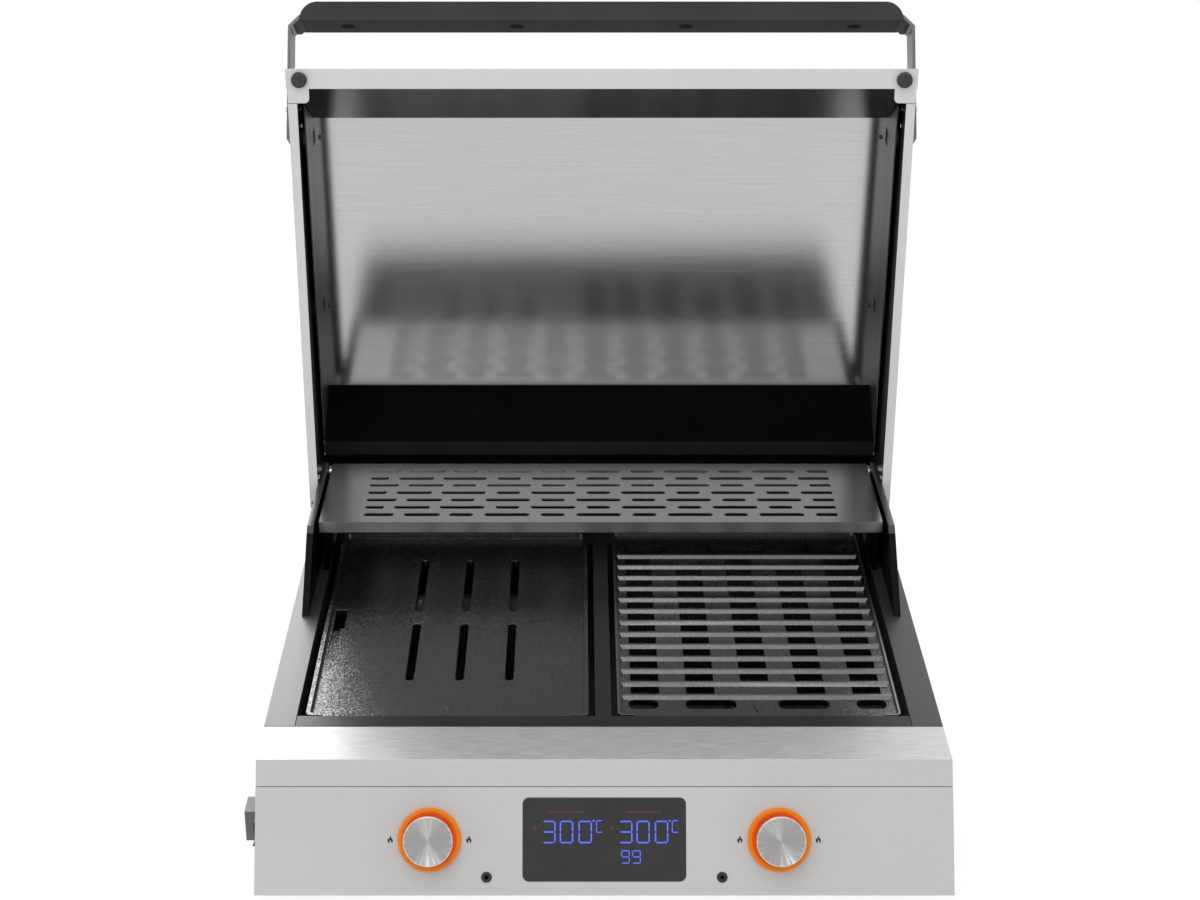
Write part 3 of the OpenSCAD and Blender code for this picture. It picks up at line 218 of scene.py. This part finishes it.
def powder_coat(name, low, high, rough, grain, height, metallic=0.0, gloss=0.5):
    """Dark powder coat: fine orange peel with a slight change of tone."""
    s = Shader(name, Metallic=metallic, Specular_IOR_Level=gloss)
    peel = s.noise(s.coords(), grain, 2.0)
    clouds = s.noise(s.coords(), 14.0, 3.0)
    s.feed(s.ramp(clouds, grey(low), grey(high), 0.3, 0.75), "Base Color")
    s.feed(s.span(peel, rough - 0.06, rough + 0.08), "Roughness")
    s.bump(peel, height)
    return s.mat


def speckled_casting(name, low, high, rough, tilt):
    """Cast plate with a metallic coat: grains of about a millimetre, each tilted a little its own way."""
    s = Shader(name, Metallic=1.0)
    sand = s.noise(s.coords(), 560.0, 2.0, 0.6)
    specks = s.add("ShaderNodeTexVoronoi", Scale=1000.0)
    s.link(s.coords(), specks.inputs["Vector"])
    clouds = s.noise(s.coords(), 11.0, 3.0)
    tone = s.total(sand, clouds, 0.2)
    s.feed(s.ramp(tone, grey(low, 0.03), grey(high, 0.03), 0.35, 0.85), "Base Color")
    s.feed(s.span(specks.outputs["Distance"], rough - 0.06, rough + 0.06), "Roughness")
    centred = s.vector("SUBTRACT", specks.outputs["Color"], (0.5, 0.5, 0.5))
    lean = s.vector("SCALE", centred, Scale=tilt)
    facet = s.vector("ADD", s.add("ShaderNodeNewGeometry").outputs["Normal"], lean)
    s.feed(s.vector("NORMALIZE", facet), "Normal")
    return s.mat


def dark_window(name):
    """Display cover: dark tinted plastic with a faint haze."""
    s = Shader(name)
    haze = s.noise(s.coords(), 30.0, 3.0)
    s.feed(s.ramp(haze, grey(0.020), grey(0.026), 0.3, 0.7), "Base Color")
    s.feed(s.span(haze, 0.10, 0.16), "Roughness")
    return s.mat


def glowing(name, colour, deep, strength):
    """Lit translucent plastic, with a slightly uneven glow."""
    s = Shader(name, Roughness=0.4, Emission_Strength=strength)
    cloud = s.noise(s.coords(), 180.0, 2.0)
    s.feed(s.ramp(cloud, deep, colour, 0.25, 0.6), "Base Color", "Emission Color")
    return s.mat


def ring_light(name):
    """The lit ring: orange outside, redder and brighter towards the knob."""
    s = Shader(name, Roughness=0.5, Specular_IOR_Level=0.2)
    place = s.add("ShaderNodeTexCoord").outputs["Object"]
    radius = s.vector("LENGTH", s.vector("MULTIPLY", place, (1, 1, 0)))
    away = s.span(radius, 0.0, 1.0, RING_IN * MM, (RING_IN + RING_SHOULDER) * MM)
    tone = s.ramp(away, (0.76, 0.085, 0.004, 1), (0.76, 0.190, 0.006, 1), 0.2, 0.8)
    s.feed(tone, "Base Color", "Emission Color")
    s.feed(s.span(away, 0.45, 0.12), "Emission Strength")
    s.bump(s.noise(s.coords(), 900.0, 2.0), 0.06)
    return s.mat


def spun_metal(name, low, high, rough, aniso):
    """Turned metal: fine rings around the axis and the fan of light that they give."""
    s = Shader(name, Metallic=1.0, Anisotropic=aniso, Anisotropic_Rotation=0.25)
    place = s.add("ShaderNodeTexCoord")
    wave = s.add("ShaderNodeTexWave", wave_type="RINGS", rings_direction="Z", Scale=900.0, Distortion=2.5,
                 Detail=2.0)
    s.link(place.outputs["Object"], wave.inputs["Vector"])
    rings = wave.outputs["Fac"]
    s.feed(s.ramp(rings, grey(low, 0.01), grey(high, 0.01)), "Base Color")
    s.feed(s.span(rings, rough - 0.05, rough + 0.07), "Roughness")
    s.bump(rings, 0.05, FINER)
    s.tangent("Z")
    return s.mat


def rubbery(name, low, high, rough=0.75):
    """Matt rubber, ceramic or ink with a fine grain."""
    s = Shader(name)
    fine = s.noise(s.coords(), 800.0, 3.0)
    s.feed(s.ramp(fine, grey(low), grey(high), 0.3, 0.75), "Base Color")
    s.feed(s.span(fine, rough - 0.08, rough + 0.06), "Roughness")
    s.bump(fine, 0.18)
    return s.mat


def circuit_board(name):
    """Green board with lighter lines."""
    s = Shader(name, Roughness=0.4)
    lines = s.add("ShaderNodeTexBrick", Scale=90.0, Color1=(0.010, 0.085, 0.035, 1),
                  Color2=(0.012, 0.11, 0.045, 1), Mortar=(0.03, 0.17, 0.07, 1))
    s.link(s.coords(), lines.inputs["Vector"])
    s.feed(lines.outputs["Color"], "Base Color")
    s.bump(lines.outputs["Fac"], 0.1, FINER)
    return s.mat


PANEL_SHEET = satin_sheet("panel_sheet", 0.51, 0.555, 0.46)
LID_RIM_PAINTED_LIGHT = satin_sheet("lid_sheet", 0.63, 0.68, 0.42)
SHELL_SHEET = satin_sheet("shell_sheet", 0.35, 0.39, 0.55, gloss=0.08)
LID_INSIDE_SHADE = satin_sheet("lid_inside_painted_shade", 0.040, 0.060, 0.50, metallic=0.3)
ARM_SHEET = satin_sheet("arm_sheet", 0.125, 0.15, 0.42)
TUB_SHEET = satin_sheet("tub_sheet", 0.42, 0.47, 0.44)
STRIP_STEEL = brushed_steel("strip_steel", 0.50, 0.78, 0.45, "X", (40, 700, 700), 0.4)
RACK_STEEL = brushed_steel("rack_steel", 0.60, 0.66, 0.22, "X", (20, 1400, 1400), 0.3,
                           uneven=0.02, grain=0.012, tint=-0.012)
FLANGE_PAINTED_SHADE = brushed_steel("flange_painted_shade", 0.16, 0.22, 0.42, "X", (14, 600, 600), 0.2)
SHIELD_STEEL = brushed_steel("shield_steel", 0.47, 0.56, 0.12, "X", (14, 1500, 1500), 0.4,
                             uneven=0.03, tint=-0.008)
FIREBOX_STEEL = brushed_steel("firebox_steel", 0.10, 0.16, 0.45, "Y", (90, 300, 300), 0.2)
PLATED = brushed_steel("plated_steel", 0.62, 0.75, 0.22, "Z", (200, 200, 200), 0.2)
TRAY_STEEL = brushed_steel("tray_steel", 0.40, 0.52, 0.32, "Y", (20, 500, 500), 0.4)
FRAME_COAT = powder_coat("frame_coat", 0.010, 0.017, 0.30, 1100.0, 0.08, gloss=0.33)
RAIL_COAT = powder_coat("rail_coat", 0.020, 0.030, 0.28, 1100.0, 0.08)
CHEEK_COAT = powder_coat("cheek_coat", 0.0015, 0.003, 0.42, 1100.0, 0.1, gloss=0.08)
BAFFLE_COAT = powder_coat("baffle_coat", 0.10, 0.125, 0.18, 700.0, 0.03, metallic=1.0)
REAR_SHADE_BLACK = powder_coat("rear_shade_black", 0.003, 0.005, 0.50, 700.0, 0.03, gloss=0.0)
LIP_SHADE_BLACK = powder_coat("lip_shade_black", 0.012, 0.018, 0.40, 700.0, 0.03, gloss=0.1)
HANDLE_UNDER_SHADE = powder_coat("handle_under_shade", 0.006, 0.010, 0.60, 1500.0, 0.06, gloss=0.12)
HANDLE_COAT = powder_coat("handle_coat", 0.038, 0.046, 0.60, 1500.0, 0.06, gloss=0.12)
DARK_PLASTIC = powder_coat("dark_plastic", 0.010, 0.016, 0.45, 1400.0, 0.1)
SHEATH = powder_coat("element_sheath", 0.020, 0.045, 0.5, 300.0, 0.3, metallic=0.6)
CASTING = speckled_casting("plate_casting", 0.10, 0.18, 0.27, 0.17)
RIDGE_PAINTED_LIGHT = speckled_casting("ridge_painted_light", 0.19, 0.29, 0.30, 0.05)
WINDOW = dark_window("window_tint")
RING = ring_light("ring_light")
KNOB_FACE = spun_metal("knob_face", 0.44, 0.54, 0.38, 0.9)
KNOB_EDGE = spun_metal("knob_edge", 0.50, 0.64, 0.22, 0.0)
RUBBER = rubbery("rubber", 0.028, 0.042)
CERAMIC = rubbery("ceramic", 0.62, 0.70, 0.6)
PRINT_INK = rubbery("print_ink", 0.012, 0.018, 0.6)
BOARD = circuit_board("circuit_board")
DIGIT_BLUE = glowing("digit_blue", (0.080, 0.125, 0.80, 1), (0.06, 0.09, 0.62, 1), 0.6)
MARK_RED = glowing("mark_red", (0.11, 0.012, 0.012, 1), (0.07, 0.02, 0.02, 1), 0.2)
ROCKER_RED = glowing("rocker_red", (0.55, 0.02, 0.015, 1), (0.40, 0.015, 0.012, 1), 0.15)


# Shape helpers
def soften(node, width, segments=2):
    """Rounds a CAD node's sharp edges with modifiers; the node's own mesh stays as it is."""
    obj = NODES[node]
    weld = obj.modifiers.new("weld", "WELD")
    weld.merge_threshold = WELD_GAP * MM
    flat = obj.modifiers.new("flat", "DECIMATE")
    flat.decimate_type = "DISSOLVE"
    flat.angle_limit = FLAT_ANGLE
    edge = obj.modifiers.new("edge", "BEVEL")
    edge.width = width * MM
    edge.segments = segments
    edge.limit_method = "ANGLE"
    edge.angle_limit = EDGE_ANGLE
    edge.harden_normals = True


def paint(material, *nodes):
    for name in nodes:
        mesh = NODES[name].data
        mesh.materials.clear()
        mesh.materials.append(material)


def paint_faces(node, material, chosen):
    """Gives another material to the faces that chosen(normal, centre) picks."""
    mesh = NODES[node].data
    mesh.materials.append(material)
    index = len(mesh.materials) - 1
    for face in mesh.polygons:
        if chosen(face.normal, face.center):
            face.material_index = index


def panel_matrix(x, down):
    """Frame on the sloped front face: z out of it, y up its slope."""
    back = -down * math.sin(PANEL_TILT) - ORIGIN_BACK
    up = DECK_H - down * math.cos(PANEL_TILT)
    turn = Matrix.Rotation(math.pi / 2 - PANEL_TILT, 4, "X")
    return Matrix.Translation(Vector((x, back, up)) * MM) @ turn


def to_mesh(name, bm):
    """The mesh of a bmesh, which is freed."""
    mesh = bpy.data.meshes.new(name)
    bm.to_mesh(mesh)
    bm.free()
    return mesh


def to_scene(name, data):
    obj = bpy.data.objects.new(name, data)
    bpy.context.scene.collection.objects.link(obj)
    return obj


def make_piece(name, mesh, materials, body, matrix):
    for material in materials:
        mesh.materials.append(material)
    obj = to_scene(name, mesh)
    obj.matrix_world = matrix
    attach(obj, body)
    return obj


def turned(name, profile, edge_steps=()):
    """A lathed mesh from (radius, height) points in millimetres; edge_steps take the second material."""
    bm = bmesh.new()
    rings = []
    for r, z in profile:
        if r == 0:
            rings.append([bm.verts.new((0, 0, z * MM))])
            continue
        ring = []
        for i in range(TURN_STEPS):
            a = 2 * math.pi * i / TURN_STEPS
            ring.append(bm.verts.new((r * MM * math.cos(a), r * MM * math.sin(a), z * MM)))
        rings.append(ring)
    for step, (a, b) in enumerate(zip(rings, rings[1:])):
        for i in range(TURN_STEPS):
            j = (i + 1) % TURN_STEPS
            corners = [a[i % len(a)], a[j % len(a)], b[j % len(b)], b[i % len(b)]]
            face = bm.faces.new(list(dict.fromkeys(corners)))
            face.material_index = 1 if step in edge_steps else 0
    bmesh.ops.recalc_face_normals(bm, faces=bm.faces)
    mesh = to_mesh(name, bm)
    for edge in mesh.edges:
        a, b = (mesh.vertices[v].co for v in edge.vertices)
        edge.use_edge_sharp = abs(a.z - b.z) < 1e-9 and abs(a.xy.length - b.xy.length) < 1e-9
    mesh.shade_smooth()
    return mesh


def prints(name, outlines, material, matrix, out):
    """Thin printed or lit shapes on the panel: each outline is a list of (x, y) points in millimetres."""
    bm = bmesh.new()
    for outline in outlines:
        low = [bm.verts.new((x * MM, y * MM, out * MM)) for x, y in outline]
        high = [bm.verts.new((x * MM, y * MM, (out + PRINT_T) * MM)) for x, y in outline]
        bm.faces.new(high)
        bm.faces.new(low[::-1])
        for i in range(len(outline)):
            j = (i + 1) % len(outline)
            bm.faces.new((low[i], low[j], high[j], high[i]))
    bmesh.ops.recalc_face_normals(bm, faces=bm.faces)
    make_piece(name, to_mesh(name, bm), [material], "base", matrix)


# Base
paint(PANEL_SHEET, "control_panel", "front_cap")
paint_faces("front_cap", STRIP_STEEL, lambda normal, centre: normal.z > 0.99)
paint(FRAME_COAT, "deck_frame")
paint(RAIL_COAT, "side_rail_left", "side_rail_right")
paint(CHEEK_COAT, "cheek_left", "cheek_right", "cheek_screws", "rear_upstand", "rack_brackets")
# Painted light: the cheeks' upward faces get the lighter rail coat, for the light that falls on their tops
for cheek in ("cheek_left", "cheek_right"):
    paint_faces(cheek, RAIL_COAT, lambda normal, centre: normal.z > 0.8)
paint(TUB_SHEET, "base_tub")
# Painted shade: the cable box gets the dark arm sheet, which stands for the shadow that it sits in
paint(ARM_SHEET, "cable_box")
paint(RACK_STEEL, "warming_rack")
paint(FIREBOX_STEEL, "firebox_left", "firebox_right")
paint(TRAY_STEEL, "drip_tray", "tray_runners")
paint(SHEATH, "heating_element_left", "heating_element_right", "sensors")
paint(CERAMIC, "terminal_blocks")
paint(CASTING, "griddle_plate", "grate_plate")
# Painted light: the grate's upper part, the ridges, gets a lighter copy of the casting for the light on their
# tops and fronts
RIDGE_LIGHT_FROM = max(v.co.z for v in NODES["grate_plate"].data.vertices) - RIDGE_LIGHT_H * MM
paint_faces("grate_plate", RIDGE_PAINTED_LIGHT, lambda normal, centre: centre.z > RIDGE_LIGHT_FROM)
paint(WINDOW, "display_window")
paint(DARK_PLASTIC, "display_module", "encoder_left", "encoder_right", "power_parts", "probe_jack_left",
      "probe_jack_right", "switch_body", "switch_rocker")
paint_faces("switch_rocker", ROCKER_RED, lambda normal, centre: normal.x < -0.8)
paint(BOARD, "control_board", "power_board")
paint(PLATED, "board_standoffs", "knob_shaft_left", "knob_shaft_right", "hinge_pin_left", "hinge_pin_right",
      "handle_bolts", "foot_screws")
paint(RUBBER, "feet", "lid_bumpers", "cable_gland")

# Lid: grey outside, with a paler copy of the sheet on the front-facing rim, painted light, and a dark sheet on
# the inside faces, painted shade
LID_MIDDLE = Vector((0, LID_MIDDLE_BACK - ORIGIN_BACK, DECK_H + LID_MIDDLE_UP)) * MM
for lid_node in ("lid_shell", "lid_front"):
    paint(SHELL_SHEET, lid_node)
    # Painted light: the faces that look forward, the rim, get a paler copy of the outside sheet
    paint_faces(lid_node, LID_RIM_PAINTED_LIGHT, lambda normal, centre: normal.y < -0.9)
    # Painted shade: the faces towards the lid's middle get a dark sheet for the shade inside the lid
    paint_faces(lid_node, LID_INSIDE_SHADE, lambda normal, centre: normal.dot(LID_MIDDLE - centre) > 0)
paint(ARM_SHEET, "handle_arm_left", "handle_arm_right")
paint(SHIELD_STEEL, "heat_shield")
# Painted shade: the shield's side flanges get a darker copy of the steel, standing for the dark that they reflect
paint_faces("heat_shield", FLANGE_PAINTED_SHADE, lambda normal, centre: abs(normal.x) > 0.9)
paint(BAFFLE_COAT, "front_baffle", "shield_posts", "shield_screws")
# A black sheet, darkened further as painted shade for the shade inside the lid; its front-facing lip gets a
# slightly lighter, glossier copy
paint(REAR_SHADE_BLACK, "rear_baffle")
paint_faces("rear_baffle", LIP_SHADE_BLACK, lambda normal, centre: normal.y < -0.95)
paint(HANDLE_COAT, "handle_bar", "handle_end_blocks")
# Painted shade: the handle bar's downward faces get a darker copy of its coat
paint_faces("handle_bar", HANDLE_UNDER_SHADE, lambda normal, centre: normal.z < -0.5)

# Rounded edges, in millimetres
for sheet_node in ("control_panel", "side_rail_left", "side_rail_right", "deck_frame", "lid_front",
                   "lid_shell", "handle_arm_left", "handle_arm_right", "cable_box", "base_tub"):
    soften(sheet_node, 0.3)
soften("front_cap", 0.7, 3)
soften("warming_rack", 1.0, 3)
soften("handle_bar", 1.6, 3)
soften("handle_end_blocks", 0.8)
soften("griddle_plate", 0.7)
soften("grate_plate", 0.5)
for coated in ("cheek_left", "cheek_right", "lid_bumpers", "display_window", "switch_body", "switch_rocker"):
    soften(coated, 0.5)

# Knobs and lit rings: (radius, height) above the panel
KNOB_FLAT = KNOB_H - 0.35
KNOB_PROFILE = [(0, KNOB_FLAT), (8, KNOB_FLAT), (KNOB_R - 1.5, KNOB_FLAT), (KNOB_R - 1.3, KNOB_H - 0.05),
                (KNOB_R - 1.0, KNOB_H), (KNOB_R - 0.25, KNOB_H - 0.4), (KNOB_R, KNOB_H - 1.0), (KNOB_R, 2.0),
                (KNOB_R - 0.4, 1.0), (KNOB_R - 2.5, 1.0), (KNOB_R - 2.5, 6.0)]
KNOB_EDGE_STEPS = range(2, 8)
RING_PROFILE = [(KNOB_R - 1.2, -3.5), (KNOB_R - 1.2, 0.6), (RING_IN, 0.6), (RING_IN, RING_H - 2.2),
                (RING_IN + 0.5, RING_H - 1.2), (RING_IN + 1.6, RING_H - 0.3),
                (RING_IN + RING_SHOULDER, RING_H), (RING_OUT - 1.0, RING_H), (RING_OUT - 0.3, RING_H - 0.3),
                (RING_OUT, RING_H - 1.0), (RING_OUT, 0)]
for side, sign in (("left", -1), ("right", 1)):
    seat = panel_matrix(sign * KNOB_X, CONTROL_DOWN)
    knob_name, ring_name = f"knob_cap_{side}", f"glow_ring_{side}"
    knob = make_piece(knob_name, turned(knob_name, KNOB_PROFILE, KNOB_EDGE_STEPS), [KNOB_FACE, KNOB_EDGE],
                      f"knob_{side[0]}", seat)
    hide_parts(f"knob_{side}")
    ring = make_piece(ring_name, turned(ring_name, RING_PROFILE), [RING], "base", seat)
    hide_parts(f"light_ring_{side}")

# Display: the characters' bars, and the place and size of each kind of character
BARS = {"0": "abcdef", "3": "abcdg", "9": "abcdfg", "C": "adef"}
ZONE_DIGIT = {"y": 6.4, "w": 11.6, "h": 19.2, "stroke": 1.25}
UNIT_LETTER = {"y": 11.1, "w": 6.0, "h": 10.8, "stroke": 0.9}
TIMER_DIGIT = {"y": -14.7, "w": 7.4, "h": 11.3, "stroke": 0.9}
DASH_PITCH = 3.4
DASH_HALF = 1.2


def character(letter, x, y, w, h, stroke):
    """Outlines of a seven-segment character centred on (x, y)."""
    gap = stroke * 0.28
    half_w, half_h = w / 2 - stroke / 2, h / 2 - stroke / 2
    ends = {"a": ((-half_w, half_h), (half_w, half_h)), "b": ((half_w, half_h), (half_w, 0)),
            "c": ((half_w, 0), (half_w, -half_h)), "d": ((-half_w, -half_h), (half_w, -half_h)),
            "e": ((-half_w, 0), (-half_w, -half_h)), "f": ((-half_w, half_h), (-half_w, 0)),
            "g": ((-half_w, 0), (half_w, 0))}
    outlines = []
    for key in BARS[letter]:
        start, end = (Vector(point) for point in ends[key])
        along = (end - start).normalized()
        across = Vector((-along.y, along.x)) * stroke / 2
        start, end = start + along * gap, end - along * gap
        tip = along * stroke / 2
        points = [start, start + tip + across, end - tip + across,
                  end, end - tip - across, start + tip - across]
        outlines.append([(x + p.x, y + p.y) for p in points])
    return outlines


def disc(x, y, r, count=12):
    turns = [2 * math.pi * i / count for i in range(count)]
    return [(x + r * math.cos(a), y + r * math.sin(a)) for a in turns]


DISPLAY = panel_matrix(0, CONTROL_DOWN)
lit = []
for letter, x in (("3", -47.5), ("0", -32.5), ("0", -16.4), ("3", 18.4), ("0", 33.3), ("0", 49.1)):
    lit += character(letter, x, **ZONE_DIGIT)
for x in (-4.2, 60.9):
    lit += character("C", x, **UNIT_LETTER)
    lit.append(disc(x - 5.0, 16.0, 0.9))
for x in (18.1, 27.6):
    lit += character("9", x, **TIMER_DIGIT)
prints("display_digits", lit, DIGIT_BLUE, DISPLAY, WINDOW_PROUD)

marks = []
for x in (-59.6, 6.8):
    marks.append([(x - 0.9, 7.2), (x + 0.9, 7.2), (x + 1.2, 9.5), (x, 13.2), (x - 1.2, 9.5)])
for middle in (-32.9, 33.3):
    for i in range(-4, 5):
        x = middle + i * DASH_PITCH
        marks.append([(x - DASH_HALF, 22.6), (x + DASH_HALF, 22.6), (x + DASH_HALF, 24.4), (x - DASH_HALF, 24.4)])
prints("display_marks", marks, MARK_RED, DISPLAY, WINDOW_PROUD)

# Flame marks beside the knobs
FLAME = [(-0.6, -3.4), (-2.0, -2.2), (-2.4, -0.4), (-1.5, 1.2), (-0.9, 0.2), (-0.5, 2.0), (0.5, 3.4),
         (0.8, 1.6), (1.9, 0.4), (2.3, -1.2), (1.7, -2.8), (0.9, -3.4), (1.1, -2.0), (0.2, -0.4), (-0.6, -1.4)]
for side, sign in (("left", -1), ("right", 1)):
    for place, offset in (("outer", FLAME_OFFSET), ("inner", -FLAME_OFFSET)):
        spot = panel_matrix(sign * KNOB_X + sign * offset, CONTROL_DOWN)
        prints(f"flame_{side}_{place}", [FLAME], PRINT_INK, spot, 0.0)

# Floor: plain white to the camera, gloss and glass, but for a share that keeps the shadow
floor_bm = bmesh.new()
bmesh.ops.create_circle(floor_bm, cap_ends=True, radius=12.0, segments=64)
floor_mesh = to_mesh("floor", floor_bm)
floor = to_scene("floor", floor_mesh)
pale = Shader("floor_white", Roughness=0.9, Specular_IOR_Level=0.1)
pale.feed(pale.ramp(pale.noise(pale.coords(), 3.0), grey(0.86), grey(0.88)), "Base Color")
glow = pale.add("ShaderNodeEmission", Strength=1.04)
share = pale.add("ShaderNodeMath", operation="MULTIPLY")
share.inputs[1].default_value = 0.88
pale.link(pale.seen_by("Is Camera Ray", "Is Transmission Ray", "Is Glossy Ray"), share.inputs[0])
pale.link(pale.mix(share.outputs["Value"], pale.bsdf.outputs["BSDF"], glow.outputs["Emission"]),
          pale.tree.nodes["Material Output"].inputs["Surface"])
floor_mesh.materials.append(pale.mat)

# World: an even fill, a white background, and a room for gloss that is darker in front and brighter at the sides
world = bpy.data.worlds.new("studio")
bpy.context.scene.world = world
world.use_nodes = True
studio = Nodes(world.node_tree)
fill = studio.tree.nodes["Background"]
fill.inputs["Color"].default_value = (1, 1, 1, 1)
fill.inputs["Strength"].default_value = 0.80
white = studio.add("ShaderNodeBackground", Color=(1, 1, 1, 1), Strength=1.0)
room = studio.add("ShaderNodeBackground")
toward = studio.add("ShaderNodeSeparateXYZ")
studio.link(studio.add("ShaderNodeTexCoord").outputs["Generated"], toward.inputs["Vector"])
behind = studio.span(toward.outputs["Y"], 0.0, 1.0, -1.0, 1.0)
studio.link(studio.ramp(behind, grey(0.68), grey(1.0), 0.2, 0.7), room.inputs["Color"])
sideways = studio.add("ShaderNodeMath", operation="ABSOLUTE")
studio.link(toward.outputs["X"], sideways.inputs[0])
studio.link(studio.span(sideways.outputs["Value"], 1.0, 1.6, 0.5, 1.0), room.inputs["Strength"])
around = studio.mix(studio.seen_by("Is Glossy Ray"), fill.outputs["Background"], room.outputs["Background"])
shown = studio.mix(studio.seen_by("Is Camera Ray", "Is Transmission Ray"), around, white.outputs["Background"])
studio.link(shown, studio.tree.nodes["World Output"].inputs["Surface"])


# Lamps and camera
def softbox(name, place, target, size, watts):
    light = bpy.data.lights.new(name, "AREA")
    light.shape = "RECTANGLE"
    light.size = light.size_y = size
    light.energy = watts
    obj = to_scene(name, light)
    obj.location = place
    obj.rotation_euler = (Vector(target) - Vector(place)).to_track_quat("-Z", "Y").to_euler()


softbox("key_high", (-0.7, -1.83, 3.0), (0, -0.03, 0.2), 1.8, 20.0)
softbox("back_left", (-0.80, 1.74, 1.2), (-0.3, -0.13, 0.12), 0.9, 17.0)
softbox("back_right", (1.05, 1.87, 1.2), (0.3, -0.13, 0.12), 0.9, 1.2)
softbox("top_soft", (0.2, -0.33, 3.0), (0, -0.03, 0.2), 2.4, 10.0)

bpy.context.scene.view_settings.view_transform = "Standard"
camera = bpy.data.cameras.new("photo_camera")
camera.sensor_width = CAM_SENSOR
camera.lens = CAM_LENS
camera.shift_x = CAM_SHIFT_X
camera.clip_end = CAM_REACH
camera_obj = to_scene("photo_camera", camera)
camera_obj.location = CAM_PLACE
camera_obj.rotation_euler = (math.pi / 2 - CAM_PITCH, 0, 0)
bpy.context.scene.camera = camera_obj
